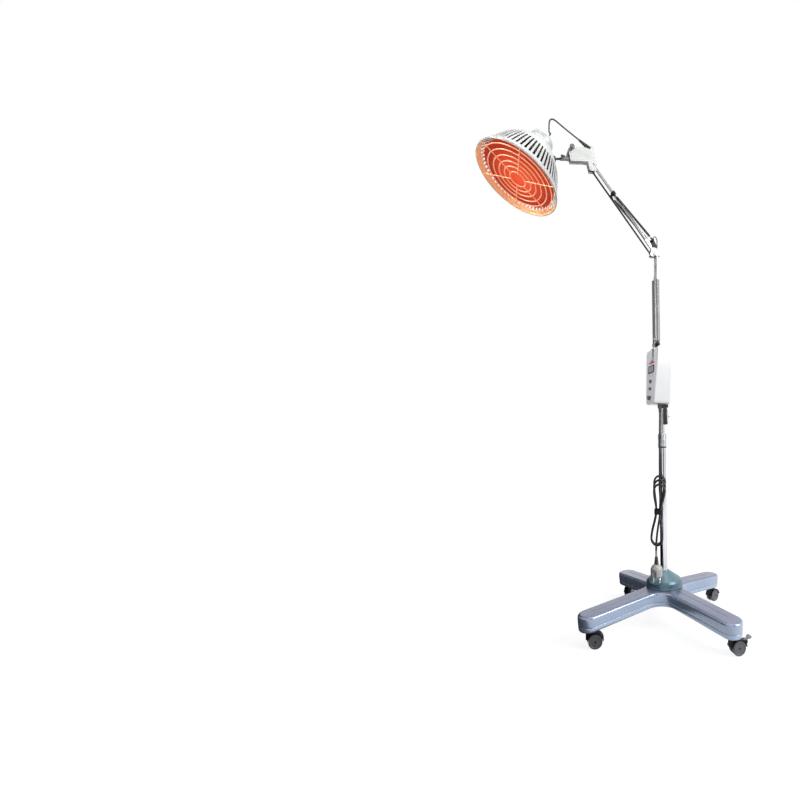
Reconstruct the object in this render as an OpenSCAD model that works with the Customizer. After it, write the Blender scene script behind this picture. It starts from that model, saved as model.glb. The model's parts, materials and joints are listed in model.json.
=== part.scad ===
// Infrared heat therapy floor lamp.
// The column stands on the Z axis with the floor at Z = 0 and the arm reaches toward -X.
// Places in the arm plane are written [reach, height]: reach is the distance toward -X.

/* [Base] */
// Distance from the column to the caster pivot of a front leg
front_leg = 260; // [220:1:290]
// Distance from the column to the caster pivot of a rear leg
rear_leg = 202; // [180:1:260]
// Angle between a front leg and the base's front
front_spread = 42.8; // [38:0.1:48]
// Angle between a rear leg and the base's back
rear_spread = 42.3; // [38:0.1:48]
// Heading of the base's front about the column
base_turn = 236.1; // [0:0.1:360]
// Width of a leg
leg_w = 58; // [52:1:70]
// Radius of the hollow between two legs
leg_fillet = 45; // [35:1:60]
// Wall of the base mouldings
base_wall = 3; // [2:0.5:4]
// Height of the base's top at the hub
base_top = 97; // [90:1:110]
// Height of the leg from its top to its underside
base_h = 40; // [34:1:44]
// Fall of the leg over each millimetre of its length
leg_fall = 0.055; // [0:0.005:0.06]

/* [Hub and column] */
// Radius of the hub cone at its foot
hub_r = 54; // [48:1:60]
// Height of the hub cone
hub_h = 45; // [30:1:60]
// Outer diameter of the column tube
column_d = 22; // [20:0.5:26]
// Height of the top of the column tube
column_top = 530; // [450:1:620]
// Outer diameter of the sliding mast tube
mast_d = 16; // [13:0.5:16.5]
// Length of the mast tube
mast_len = 370; // [320:1:420]
// Wall of the column and mast tubes
tube_wall = 1.2; // [1:0.1:2]
// Height of the locking collar
collar_h = 39; // [30:1:50]
// Radial thickness of the locking collar
collar_t = 1.6; // [1.2:0.1:4]

/* [Casters] */
// Wheel diameter
wheel_d = 36; // [30:1:38]
// Width of one wheel
wheel_w = 9; // [7:0.5:11]
// Distance from the pivot to the axle
trail = 16; // [12:1:18]

/* [Control box] */
// Height of the box
box_h = 170; // [140:1:200]
// Width of the box at its top
box_w_top = 77; // [66:1:90]
// Width of the box at its bottom
box_w_bottom = 52; // [44:1:70]
// Depth from the column axis to the front of the panel at the top
box_front = 30; // [26:1:36]
// How much further the panel reaches at the bottom
box_rake = 11; // [4:1:16]
// Depth from the column axis to the back of the box
box_back = 14; // [13.5:0.5:20]
// Wall of the box
box_wall = 2.4; // [1.6:0.2:3]
// Gap between the top of the column tube and the clamp
clamp_gap = 44; // [20:1:80]

/* [Lower arm] */
// Distance from the foot pivot to the elbow pivot
lower_len = 298; // [250:1:340]
// Reach of the foot and elbow pivots
lower_reach = 18; // [16:1:20]
// Height of the foot pivot above the box
foot_h = 15; // [15:0.5:20]
// Diameter of the lower arm's tube
lower_d = 8; // [7:0.5:8.5]
// Length of the sleeve
sleeve_len = 175; // [120:1:190]

/* [Upper arm] */
// Distance from the elbow pivot to the bracket pivot
upper_len = 292; // [250:1:340]
// Angle of the upper arm above the horizontal
upper_angle = 47.8; // [40:0.1:52]
// Diameter of the upper tube
upper_d = 9; // [7:0.5:9.5]
// Diameter of the upper link rod
link_d = 5.2; // [4:0.2:6]
// Distance from the elbow pivot to the spring clip
clip_at = 200; // [150:1:230]
// Outer diameter of a balance spring
spring_d = 8; // [6:0.5:9]
// Wire diameter of a balance spring
spring_wire = 1.8; // [1.2:0.1:2.2]
// Curls of each balance spring
spring_curls = 24; // [12:1:36]

/* [Head] */
// Radius of the shade at its rim
rim_r = 115; // [100:1:130]
// Height of the shade shell
shade_h = 134; // [125:1:150]
// Wall of the shade
shade_wall = 1.5; // [1:0.1:2.5]
// Tilt of the head's axis from the vertical
head_lean = 25.6; // [0:0.1:45]
// Slots round the shade
slot_count = 60; // [30:2:64]
// Width of a slot
slot_w = 5; // [3:0.2:5.4]
// Radius of the radiating plate
plate_r = 98; // [90:1:101]
// Wire diameter of the guard
guard_wire = 3; // [2:0.2:4]

/* [Cord] */
// Diameter of the mains cord
cord_d = 6.2; // [5.4:0.2:6.6]
// Loops in the tied hank
hank_loops = 3; // [2:1:3]
// Height of the hank
hank_h = 204; // [180:1:215]
// Diameter of the head cable
cable_d = 4; // [3.4:0.2:4.4]
// Diameter of the arm cable
arm_cable_d = 3.4; // [3:0.2:3.8]

/* [Hidden] */

$fn = 64;
slide_fit = 0.05;   // radial play of a shaft or tube that slides or turns in its bore
seat_fit = 0.02;    // radial play of a tube or stem that sits in a fixed bore
soft_gap = 0.3;     // space round a cord or beside a moving piece
cut = 1;            // run-out of a cut past the face it opens
fuse = 0.5;         // depth two joined solids share

// Base
leg_r = leg_w / 2;
legs = [
    [base_turn - front_spread, front_leg],
    [base_turn + front_spread, front_leg],
    [base_turn + 180 - rear_spread, rear_leg],
    [base_turn + 180 + rear_spread, rear_leg]
];
headings = [-20, -8, 15, 40];
base_reach = max(front_leg, rear_leg) + leg_r + 20;
flat_r = 60;
fillet_bite = 0.02;
base_low = base_top - base_h;
skirt_h = base_h / 3;
skirt_set = 0.6;
tray_t = 2.5;
tray_z = base_low + tray_t;
frame_t = 12;
frame_w = 34;
boss_r = 9;
boss_h = 14;
stem_r = 4;
bolt_r = 5;
washer_t = 2;
nut_h = 6.5;

// Column
column_r = column_d / 2;
mast_r = mast_d / 2;
column_foot = tray_z + 6;
collar_z = column_top - 23;
collar_r = column_r + collar_t;
ring_h = 3.8;
mast_top = column_top + clamp_gap + 126;
mast_z = mast_top - mast_len;

// Casters
wheel_r = wheel_d / 2;
hood_r = wheel_r + 3.2;
web_half = 2.6;
wheel_in = web_half + 0.5;
wheel_out = wheel_in + wheel_w;
axle_r = 2.5;
pedal_at = [trail + 21.5, 30];
pedal_pin_r = 1.5;

// Box and clamp
clamp_z = column_top + clamp_gap;
clamp_h = 50;
clamp_x = 12.6;
clamp_plate_t = 4.2;
screw_z = clamp_z + 27;
screw_r = 3;
socket_r = mast_r + 3.4;
shoulder_h = 8;
box_z = clamp_z + clamp_h + 10;
box_top = box_z + box_h;
rake = atan(box_rake / box_h);
panel_t = 2;
lens_z = box_z + 107.5;
lens_h = 24;
lens_w = 36;
button_z = [box_z + 70, box_z + 48];
fuse_z = box_z + 20;
button_r = 5.5;
button_play = 1.4;
inlet_z = box_z + 138;
inlet_y = -10;
board_x = -14;
board_t = 1.6;
screw_in = 9;
screw_level = 22;

// Lower arm
foot = [lower_reach, box_top + foot_h];
elbow = [lower_reach + 2.5, box_top + foot_h + lower_len];
pin_r = 3;
tongue_half = 3;
fork_half = 8;
tube_at = [lower_reach - 4, -8.5];
rod_at = [lower_reach + 0.5, -2];
rod_r = 2.5;
arm_cable_r = arm_cable_d / 2;
cable_at = [lower_reach - 1, 6.5];
loop_at = [lower_reach - 9, 0];
sleeve_at = [lower_reach - 1.5, -1.5];
sleeve_r = 8.5;
sleeve_half = 6;
sleeve_wall = 1.2;
sleeve_cap = 2;
clevis_z = foot[1] + 10;
clevis_h = 18;
socket_depth = 14;
sleeve_z = clevis_z + clevis_h;
cuff_reach = lower_reach + 8.6;
cuff_r = 3.2;
block_top = elbow[1] - 8;
block_h = 11;

// Upper arm
link_step = [9, -15.5];
upper_dir = [cos(upper_angle), sin(upper_angle)];
upper_normal = [sin(upper_angle), -cos(upper_angle)];
link_foot = elbow + link_step;
wrist = elbow + upper_len * upper_dir;
link_head = wrist + link_step;
cheek_in = 3.5;
cheek_t = 1.5;
anchor = elbow + [8, 30];
anchor_r = 2;
spring_y = 9.2;
spring_lug = 9;
clip_pt = elbow + clip_at * upper_dir + 7 * upper_normal;
clip_ring = elbow + clip_at * upper_dir;
knuckle_r = 7;
knuckle_half = 3.2;
strap_len = 42;
strap_w = upper_d - 0.6;
link_r = link_d / 2;
link_pin_r = 2.5;
cable_inlet = [lower_reach + 4, elbow[1] + 13];

// Bracket and head
bracket_in = 6;
bracket_t = 2;
bracket_out = bracket_in + bracket_t;
tilt_at = wrist + [71, 20.5];
boot_from = wrist + [12, 47];
boot_to = wrist + [45, 63.5];
boot_dir = (boot_to - boot_from) / norm(boot_to - boot_from);
boot_side = [-boot_dir[1], boot_dir[0]];
stem_d = 6;
spigot_dir = [0.951, -0.31];
spigot_from = tilt_at + [6.5, -26];
spigot_r = 4.6;
spigot_len = 24;
thumb_at = spigot_from + 19 * spigot_dir;
head_at = wrist + [215.7, -111.6];
head_x = [-cos(head_lean), -sin(head_lean)];
head_z = [-sin(head_lean), cos(head_lean)];
shade_mid = 98;
shoulder_r = 34.5;
neck_r = 33;
neck_wall = 2;
dome_from = 9;
dome_h = 19;
crown_r = 13.6;
neck_top = shade_h + dome_from + dome_h;
top_hole = 20;
bead_r = 2.5;
grommet_x = 8;
grommet_h = 6;
spoke_turn = 23;
spoke_r = 1.2;
spoke_s = 0.5;
guard_s = 2;
slot_from = 13;
slot_len = 59;
slot_lean = slot_w / 2 / shade_mid;
guard_rings = [22, 37.5, 52, 67.5, 83, 98];
plate_s = 11;
plate_t = 4;
plate_lip = 2;
heater_r = 62;
heater_t = 7;
dish_t = 1.4;
post_ring = 26;

// Cord
cord_r = cord_d / 2;
gland_at = [14, -13.5];
gland_z = box_z - 22;
cable_r = cable_d / 2;
sight = [0.4502, 0.8929];
fold_axis = [0.457, -0.889];
hank_bottom = 220;
hank_top = hank_bottom + hank_h;
hank_waist = hank_bottom + 98;
hank_step = cord_d + 2.1;
fold_r = 3.06 * cord_d;
waist_half = 6.7;
arch_drop = 12;
hank_feet = [-38, -25];
hank_head = [-23, -25];
tail_u = -1;
plug_z = 172;

// ---------- helpers ----------
// Point of the arm plane as a place in space
function at(p, y = 0) = [-p[0], y, p[1]];

// Cylinder along Y through an arm-plane point
module pin(p, r, y0, y1) {
    translate([-p[0], y0, p[1]]) rotate([-90, 0, 0]) cylinder(h = y1 - y0, r = r);
}

// Frame with its Z along an arm-plane direction
module along(p, d, y = 0) {
    translate(at(p, y)) rotate([0, atan2(-d[0], d[1]), 0]) children();
}

// Cylinder in the arm plane between two arm-plane points
module bar(p, q, r, y = 0) {
    along(p, q - p, y) cylinder(h = norm(q - p), r = r);
}

// Plate with an arm-plane outline between two values of Y
module plate(points, y0, y1) {
    translate([0, y1, 0])
        rotate([90, 0, 0])
        linear_extrude(y1 - y0)
        polygon([for (p = points) [-p[0], p[1]]]);
}

// Cylinder along Z at a place given as [reach, y]
module post(p, r, z0, z1) {
    translate([-p[0], p[1], z0]) cylinder(h = z1 - z0, r = r);
}

function unit(v) = v / norm(v);
function lerp(a, b, t) = a + (b - a) * t;

// Ring of points round a route point, square to the route
function ring(c, t, r, sides) =
    let (up = abs(t[1]) < 0.9 ? [0, 1, 0] : [1, 0, 0],
         u = unit(cross(up, t)),
         v = cross(t, u))
    [for (k = [0:sides - 1]) c + r * (cos(360 * k / sides) * u + sin(360 * k / sides) * v)];

function heading(p, i) =
    let (n = len(p) - 1)
    i == 0 ? unit(p[1] - p[0]) : i == n ? unit(p[n] - p[n - 1]) :
    unit(unit(p[i + 1] - p[i]) + unit(p[i] - p[i - 1]));

// Closed tube along a list of points
module tube_along(p, r, sides) {
    n = len(p);
    rings = [for (i = [0:n - 1]) ring(p[i], heading(p, i), r, sides)];
    points = [for (a = rings) for (q = a) q];
    faces = concat(
        [[for (k = [0:sides - 1]) k]],
        [for (i = [0:n - 2]) for (k = [0:sides - 1])
            let (a = i * sides + k, b = i * sides + (k + 1) % sides)
            [a, a + sides, b]],
        [for (i = [0:n - 2]) for (k = [0:sides - 1])
            let (a = i * sides + k, b = i * sides + (k + 1) % sides)
            [b, a + sides, b + sides]],
        [[for (k = [sides - 1:-1:0]) (n - 1) * sides + k]]
    );
    polyhedron(points = points, faces = faces, convexity = 8);
}

// Smooth points along a list of hand-chosen points
function spline_pt(a, b, c, d, t) =
    0.5 * ((2 * b) + (c - a) * t + (2 * a - 5 * b + 4 * c - d) * t * t
    + (3 * b - a - 3 * c + d) * t * t * t);
function smooth(p, steps) =
    let (n = len(p) - 1)
    concat([for (i = [0:n - 1]) for (k = [0:steps - 1])
        spline_pt(p[max(i - 1, 0)], p[i], p[i + 1], p[min(i + 2, n)], k / steps)], [p[n]]);

// ---------- base ----------
// Plan of the base drawn in by d
module base_plan(d) {
    w = leg_r - d;
    f = leg_fillet + d;
    for (leg = legs)
        rotate(leg[0]) {
            translate([0, -w]) square([leg[1], 2 * w]);
            translate([leg[1], 0]) circle(r = w);
        }
    for (i = [0:3]) {
        a = legs[i][0];
        b = legs[(i + 1) % 4][0] + (i == 3 ? 360 : 0);
        half = (b - a) / 2;
        far = (w + f) / sin(half);
        run = (w + f) / tan(half);
        centre = far * [cos(a + half), sin(a + half)];
        difference() {
            polygon([[0, 0], run * [cos(a), sin(a)], run * [cos(a), sin(a)] + w * [-sin(a), cos(a)],
                centre, run * [cos(b), sin(b)] + w * [sin(b), -cos(b)], run * [cos(b), sin(b)]]);
            translate(centre) circle(r = f + fillet_bite, $fn = 96);
        }
    }
}

// Space between two levels that fall away along the legs
module falling_slab(z0, z1) {
    drop = leg_fall * (base_reach - flat_r);
    rotate_extrude($fn = 96)
        polygon([[0, z0], [flat_r, z0], [base_reach, z0 - drop],
            [base_reach, z1 - drop], [flat_r, z1], [0, z1]]);
}

module base_solid(d, z0, z1) {
    intersection() {
        linear_extrude(base_top + 20) base_plan(d);
        falling_slab(z0, z1);
    }
}

// Height of a falling level above a caster pivot
function fall_at(z, r) = z - leg_fall * (r - flat_r);

module at_leg(i) {
    rotate(legs[i][0]) translate([legs[i][1], 0, 0]) rotate(-legs[i][0]) children();
}

module base_frame() {
    hub_top = tray_z + 34;
    low = tray_z + 0.1;
    frame_from = 20;
    color("dimgray") difference() {
        union() {
            for (leg = legs) rotate([90, 0, leg[0]]) {
                end = leg[1] + boss_r + 1;
                translate([0, 0, -frame_w / 2]) linear_extrude(frame_w)
                    polygon([[frame_from, low], [flat_r, low], [end, fall_at(low, end)],
                        [end, fall_at(low + frame_t, end)], [flat_r, low + frame_t],
                        [frame_from, low + frame_t]]);
            }
            translate([0, 0, tray_z]) cylinder(h = hub_top - tray_z, r = 30);
            for (i = [0:3]) at_leg(i)
                translate([0, 0, fall_at(tray_z, legs[i][1]) + frame_t - 4]) cylinder(h = boss_h, r = boss_r);
        }
        translate([0, 0, column_foot]) cylinder(h = hub_top, r = column_r + seat_fit);
        translate([0, 0, tray_z - cut]) cylinder(h = 20, r = bolt_r + seat_fit);
        for (i = [0:3]) at_leg(i) translate([0, 0, base_low - 40])
            cylinder(h = fall_at(tray_z, legs[i][1]) + frame_t + 7 - base_low + 40, r = stem_r + slide_fit);
    }
    color("silver") {
        translate([0, 0, base_low - washer_t]) cylinder(h = washer_t, r = 13);
        translate([0, 0, base_low - washer_t - nut_h]) cylinder(h = nut_h + fuse, r = 9.8, $fn = 6);
        translate([0, 0, base_low - fuse]) cylinder(h = column_foot - base_low, r = bolt_r);
    }
}

module base_cover() {
    bottom = base_low + skirt_h;
    color("#8f95b4") difference() {
        base_solid(0, bottom, base_top);
        base_solid(base_wall, bottom - cut, base_top - base_wall);
        cylinder(h = base_top + cut, r = column_r + 0.6);
    }
}

module base_skirt() {
    color("#a9bfdc") difference() {
        base_solid(skirt_set, base_low, base_low + skirt_h);
        base_solid(skirt_set + base_wall, tray_z, base_low + skirt_h + cut);
        cylinder(h = tray_z + cut, r = bolt_r + 0.4);
        for (i = [0:3]) at_leg(i) cylinder(h = tray_z + cut, r = stem_r + cut);
    }
}

module hub_cone() {
    r0 = column_r + 0.6;
    r1 = column_r + 3.5;
    color("#7d9db0") rotate_extrude($fn = 96)
        polygon([[r0, base_top + hub_h - 2], [r0, base_top + hub_h], [r1, base_top + hub_h],
            [hub_r - 5, base_top + 22], [hub_r - 1.5, base_top + 17], [hub_r - 1, base_top + 5],
            [hub_r, base_top + 4], [hub_r, base_top], [hub_r - 4, base_top],
            [hub_r - 4, base_top + 15], [hub_r - 7, base_top + 19], [r1, base_top + hub_h - 3]]);
}

module column_tube() {
    color("silver") difference() {
        translate([0, 0, column_foot]) cylinder(h = column_top - column_foot, r = column_r);
        translate([0, 0, column_foot + 8])
            cylinder(h = column_top - column_foot, r = column_r - tube_wall);
    }
}

module column_bush() {
    inner = mast_r + slide_fit;
    outer = column_r - tube_wall - seat_fit;
    color("#202020") {
        rotate_extrude() polygon([[inner, column_top - 34], [outer, column_top - 34],
            [outer, column_top], [column_r, column_top], [column_r, column_top + 3],
            [inner, column_top + 3]]);
        rotate_extrude() polygon([[column_r + seat_fit, collar_z - ring_h],
            [collar_r - 0.3, collar_z - ring_h], [collar_r - 0.3, collar_z - 0.2],
            [column_r + seat_fit, collar_z - 0.2]]);
    }
}

module lock_collar() {
    bore = column_r + 2 * slide_fit;
    throat = mast_r + 1.2;
    lid = collar_z + collar_h - 6;
    color("#c4c8cb") difference() {
        rotate_extrude() polygon([[bore, collar_z], [collar_r - 0.6, collar_z],
            [collar_r, collar_z + 1], [collar_r, collar_z + 24], [collar_r - 0.8, collar_z + 25],
            [collar_r, collar_z + 26], [collar_r, lid + 4], [collar_r - 1.5, lid + 6],
            [throat, lid + 6], [throat, lid], [bore, lid]]);
        for (k = [0:15]) rotate(k * 22.5) translate([collar_r + 0.5, 0, collar_z + 4])
            cylinder(h = 18, r = 0.9, $fn = 16);
    }
}

// ---------- casters ----------
module at_caster(i) {
    at_leg(i) rotate(headings[i]) children();
}

module along_y(x, z, r, y0, y1) {
    translate([x, y0, z]) rotate([-90, 0, 0]) cylinder(h = y1 - y0, r = r);
}

module caster_hood(i) {
    seat = fall_at(base_low, legs[i][1]) - 2.6;
    top = fall_at(tray_z, legs[i][1]) + frame_t + 5;
    color("#1c1c1e") at_caster(i) difference() {
        union() {
            intersection() {
                along_y(trail, wheel_r, hood_r, -wheel_out - 0.3, wheel_out + 0.3);
                translate([-20, -20, wheel_r + 2]) cube([70, 40, 40]);
            }
            translate([0, 0, wheel_r + 4]) cylinder(h = seat - wheel_r - 4, r = 8.5);
            along_y(trail, wheel_r, 13, -web_half, web_half);
            translate([2, -web_half, wheel_r]) cube([trail + 8, 2 * web_half, 12]);
            along_y(trail, wheel_r, axle_r, -wheel_out + 1, wheel_out - 1);
            translate([0, 0, seat - 2]) cylinder(h = top - seat + 2, r = stem_r);
            if (i == 1) {
                for (s = [-1, 1]) translate([trail + 14, s * 6 - 1.5, pedal_at[1] - 5])
                    cube([pedal_at[0] - trail - 11, 3, 8]);
                along_y(pedal_at[0], pedal_at[1], pedal_pin_r, -6, 6);
            }
        }
        for (s = [-1, 1]) difference() {
            along_y(trail, wheel_r, wheel_r + 1, min(s * web_half, s * (wheel_out + 2)),
                max(s * web_half, s * (wheel_out + 2)));
            along_y(trail, wheel_r, axle_r, -wheel_out + 1, wheel_out - 1);
        }
    }
}

module caster_wheels(i) {
    color("#55565a") at_caster(i)
        for (s = [-1, 1]) translate([trail, s * wheel_in, wheel_r]) rotate([-90 * s, 0, 0])
            rotate_extrude() polygon([[axle_r + slide_fit, 0], [wheel_r - 1, 0],
                [wheel_r, 1], [wheel_r, wheel_w - 2], [wheel_r - 1.6, wheel_w],
                [wheel_r - 4, wheel_w], [wheel_r - 5, wheel_w - 0.8],
                [axle_r + slide_fit, wheel_w - 0.8]]);
}

module brake_pedal() {
    color("#b9bcc0") at_caster(1) difference() {
        union() {
            along_y(pedal_at[0], pedal_at[1], 3.2, -4, 4);
            translate([pedal_at[0], -4, pedal_at[1] - 1]) rotate([0, -30, 0]) cube([10, 8, 3]);
            translate([pedal_at[0], 0, pedal_at[1]]) rotate([0, -30, 0])
                translate([9, -7.5, -1.2]) cube([8, 15, 3.4]);
        }
        along_y(pedal_at[0], pedal_at[1], pedal_pin_r + slide_fit, -5, 5);
    }
}

// ---------- mast and clamp ----------
module mast_tube() {
    color("silver") difference() {
        translate([0, 0, mast_z]) cylinder(h = mast_len, r = mast_r);
        translate([0, 0, mast_z - cut]) cylinder(h = mast_len + 2 * cut, r = mast_r - tube_wall);
    }
}

module clamp_block() {
    color("#161616") difference() {
        union() {
            translate([1.5, -11, clamp_z]) cube([clamp_x - 1.5, 22, clamp_h + 4]);
            translate([-8, -11, box_z - shoulder_h]) cube([25, 22, shoulder_h]);
            translate([0, 0, clamp_z + clamp_h]) cylinder(h = mast_top + 4 - clamp_z - clamp_h, r = socket_r);
        }
        translate([0, 0, clamp_z - cut]) cylinder(h = mast_top + 1.3 - clamp_z, r = mast_r + slide_fit);
        translate([0, 0, screw_z]) rotate([0, 90, 0]) cylinder(h = 30, r = screw_r + slide_fit);
    }
}

module clamp_plate() {
    color("#b5b5b5") difference() {
        translate([clamp_x, -10, clamp_z + 2]) cube([clamp_plate_t, 20, clamp_h - 4]);
        translate([0, 0, screw_z]) rotate([0, 90, 0]) cylinder(h = 40, r = screw_r + slide_fit);
    }
}

module wing_screw() {
    face = clamp_x + clamp_plate_t + soft_gap;
    color("#8a8a8a") {
        translate([mast_r + soft_gap, 0, screw_z]) rotate([0, 90, 0])
            cylinder(h = face + 2 - mast_r - soft_gap, r = screw_r);
        translate([face, 0, screw_z]) rotate([0, 90, 0]) cylinder(h = 5, r = 5);
        for (s = [-1, 1]) translate([face + 3, s * 5 - 3, screw_z - 1.3]) rotate([s * 20, 0, 0])
            cube([8, 6, 2.6]);
    }
}

// ---------- control box ----------
function half_w(z) = lerp(box_w_bottom, box_w_top, (z - box_z) / box_h) / 2;
function face_reach(z) = box_front + box_rake * (box_top - z) / box_h;

// Front view of the box drawn in by d
module box_front_view(d) {
    z0 = box_z + d;
    z1 = box_top - d;
    c = 9;
    w0 = half_w(z0) - d;
    w1 = half_w(z1) - d;
    polygon([[-w0 + c, z0], [w0 - c, z0], [w0 - 2, z0 + 3], [w0, z0 + c], [w1, z1 - c],
        [w1 - 2.5, z1 - 2.5], [w1 - c, z1], [-w1 + c, z1], [-w1 + 2.5, z1 - 2.5],
        [-w1, z1 - c], [-w0, z0 + c], [-w0 + 2, z0 + 3]]);
}

// Slab between two depths behind the panel face
module face_slab(front, back) {
    z0 = box_z - 5;
    z1 = box_top + 5;
    plate([[face_reach(z0) - front, z0], [face_reach(z1) - front, z1],
        [face_reach(z1) - back, z1], [face_reach(z0) - back, z0]], -60, 60);
}

// Space of the box between a depth behind the panel face and a plane across its back
module box_space(d, front, back) {
    intersection() {
        translate([80, 0, 0]) rotate([90, 0, -90]) linear_extrude(200) box_front_view(d);
        plate([[face_reach(box_z - 5) - front, box_z - 5], [face_reach(box_top + 5) - front, box_top + 5],
            [-back, box_top + 5], [-back, box_z - 5]], -60, 60);
    }
}

// Frame on the panel face with X up the face and Z outward
module on_panel(z, y = 0) {
    translate([-face_reach(z), y, z]) rotate([0, rake - 90, 0]) children();
}

module box_shell() {
    color("white") difference() {
        box_space(0, panel_t, box_back);
        box_space(box_wall, -10, box_back - box_wall);
        translate([0, 0, box_z - cut]) cylinder(h = 15, r = socket_r + 0.1);
        post(gland_at, 3.5 + seat_fit, box_z - cut, box_z + 10);
        for (s = [-1, 1]) for (z = [box_z + screw_level, box_top - screw_level])
            translate([box_back - 5, s * (half_w(z) - screw_in), z]) rotate([0, 90, 0])
                cylinder(h = 10, r = 1.5 + seat_fit);
        for (x = [-24.5, -9]) translate([x, 0, box_top - 6]) cylinder(h = 10, r = 1.5 + seat_fit);
    }
}

module front_panel() {
    color("#cfcfd3") difference() {
        union() {
            intersection() {
                translate([80, 0, 0]) rotate([90, 0, -90]) linear_extrude(200) box_front_view(1.2);
                face_slab(0, panel_t);
            }
            on_panel(inlet_z, inlet_y) translate([-9, -4.5, -fuse]) cube([9, 9, 8.5]);
            translate([-face_reach(inlet_z) - 5, inlet_y - 3, inlet_z - 6]) cube([5, 6, 9]);
        }
        on_panel(lens_z) translate([-lens_h / 2 + 2, -lens_w / 2 + 2, -panel_t - cut])
            cube([lens_h - 4, lens_w - 4, panel_t + 2 * cut]);
        for (z = button_z) on_panel(z) translate([0, 0, -5]) cylinder(h = 12, r = button_r + slide_fit);
        on_panel(fuse_z) translate([0, 0, -5]) cylinder(h = 12, r = 5 + slide_fit);
    }
}

module display_lens() {
    color("#26302c") on_panel(lens_z) {
        translate([-lens_h / 2, -lens_w / 2, 0]) cube([lens_h, lens_w, 1.2]);
        translate([-lens_h / 2 + 2.1, -lens_w / 2 + 2.1, -panel_t])
            cube([lens_h - 4.2, lens_w - 4.2, panel_t + fuse]);
    }
}

module panel_button(z) {
    on_panel(z) {
        translate([0, 0, -panel_t - 1]) cylinder(h = panel_t + 5, r = button_r);
        translate([0, 0, -panel_t - 2]) cylinder(h = 2, r = button_r + 1.2);
    }
}

module button_up() {
    color("#5b5d63") panel_button(button_z[0]);
}

module button_down() {
    color("#5b5d63") panel_button(button_z[1]);
}

module fuse_knob() {
    color("#77797c") on_panel(fuse_z) difference() {
        union() {
            translate([0, 0, -12]) cylinder(h = 14, r = 5);
            translate([0, 0, soft_gap]) cylinder(h = 7.5, r = 6.5);
        }
        translate([-8, -1, 6]) cube([16, 2, 2.2]);
    }
}

module control_board() {
    color("darkgreen") {
        translate([board_x - board_t, -22, box_z + 30]) cube([board_t, 44, 106]);
        translate([board_x - 9, -15, lens_z - 9]) cube([9 - fuse, 30, 18]);
        for (z = button_z) translate([-face_reach(z) + panel_t + 2 + button_play, -3, z - 3])
            cube([face_reach(z) - panel_t - 2 - button_play + board_x - fuse, 6, 6]);
        for (s = [-1, 1]) translate([board_x - 6, s * 14 - 5, box_z + 34]) cube([5, 10, 9]);
        for (s = [-1, 1]) for (z = [box_z + 40, box_z + 126])
            translate([board_x - fuse, s * 18, z]) rotate([0, 90, 0])
                cylinder(h = box_back - box_wall - board_x + fuse, r = 2.5);
    }
}

module box_screws() {
    color("gray") for (s = [-1, 1]) for (z = [box_z + screw_level, box_top - screw_level])
        translate([box_back, s * (half_w(z) - screw_in), z]) rotate([0, 90, 0]) {
            translate([0, 0, -5]) cylinder(h = 6, r = 1.5);
            difference() {
                cylinder(h = 1.8, r = 3);
                translate([-0.4, -2.2, 1]) cube([0.8, 4.4, 2]);
                translate([-2.2, -0.4, 1]) cube([4.4, 0.8, 2]);
            }
        }
}

module arm_post() {
    color("#9a9a9c") {
        difference() {
            union() {
                translate([-28, -8.3, box_top]) cube([24, 20, 2.5]);
                pin(foot, 8, -tongue_half, tongue_half);
                plate([[foot[0] - 7, box_top + 1], [foot[0] + 7, box_top + 1],
                    [foot[0] + 7, foot[1]], [foot[0] - 7, foot[1]]], -tongue_half, tongue_half);
            }
            pin(foot, pin_r + seat_fit, -10, 10);
        }
        pin(foot, pin_r, -16, 11.5);
        pin(foot, 5, fork_half + soft_gap, 11.5);
        for (x = [-24.5, -9]) translate([x, 0, box_top - 5]) {
            cylinder(h = 7, r = 1.5);
            translate([0, 0, 7]) cylinder(h = 1.6, r = 2.8);
        }
    }
}

module cord_gland() {
    color("#1a1a1a") translate([-gland_at[0], gland_at[1], gland_z]) {
        cylinder(h = box_z - gland_z, r1 = cord_r + 0.8, r2 = 5);
        cylinder(h = box_z - gland_z + box_wall + 3, r = 3.5);
    }
}

// ---------- lower arm ----------
module stadium(r, half, z0, z1) {
    translate([-sleeve_at[0], sleeve_at[1], z0]) {
        for (s = [-1, 1]) translate([0, s * half, 0]) cylinder(h = z1 - z0, r = r);
        translate([-r, -half, 0]) cube([2 * r, 2 * half, z1 - z0]);
    }
}

module foot_clevis() {
    color("#8d8e92") difference() {
        union() {
            stadium(sleeve_r, sleeve_half, clevis_z, sleeve_z);
            post([cuff_reach, inlet_y], cuff_r, clevis_z, clevis_z + 9);
            for (s = [-1, 1]) {
                y0 = s > 0 ? tongue_half + soft_gap : -fork_half;
                y1 = y0 + fork_half - tongue_half - soft_gap;
                pin(foot, 8, y0, y1);
                plate([[foot[0] - 6, foot[1]], [foot[0] + 6, foot[1]], [foot[0] + 6, clevis_z + 1],
                    [foot[0] - 6, clevis_z + 1]], y0, y1);
            }
        }
        pin(foot, pin_r + slide_fit, -20, 20);
        post(tube_at, lower_d / 2 + seat_fit, sleeve_z - socket_depth, sleeve_z + cut);
        post(rod_at, rod_r + seat_fit, sleeve_z - socket_depth, sleeve_z + cut);
        post(cable_at, arm_cable_r + soft_gap, sleeve_z - socket_depth, sleeve_z + cut);
    }
}

module pivot_knob() {
    color("#111111") difference() {
        union() {
            pin(foot, 5, -9, -fork_half - soft_gap);
            pin(foot, 6.2, -17, -9);
            pin(foot, 3.6, -20, -17);
        }
        pin(foot, pin_r + slide_fit, -16.4, -5);
    }
}

module lower_tube() {
    z0 = sleeve_z - socket_depth;
    z1 = block_top - 4;
    color("silver") difference() {
        post(tube_at, lower_d / 2, z0, z1);
        post(tube_at, lower_d / 2 - 1, z0 - cut, z1 + cut);
    }
}

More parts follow.
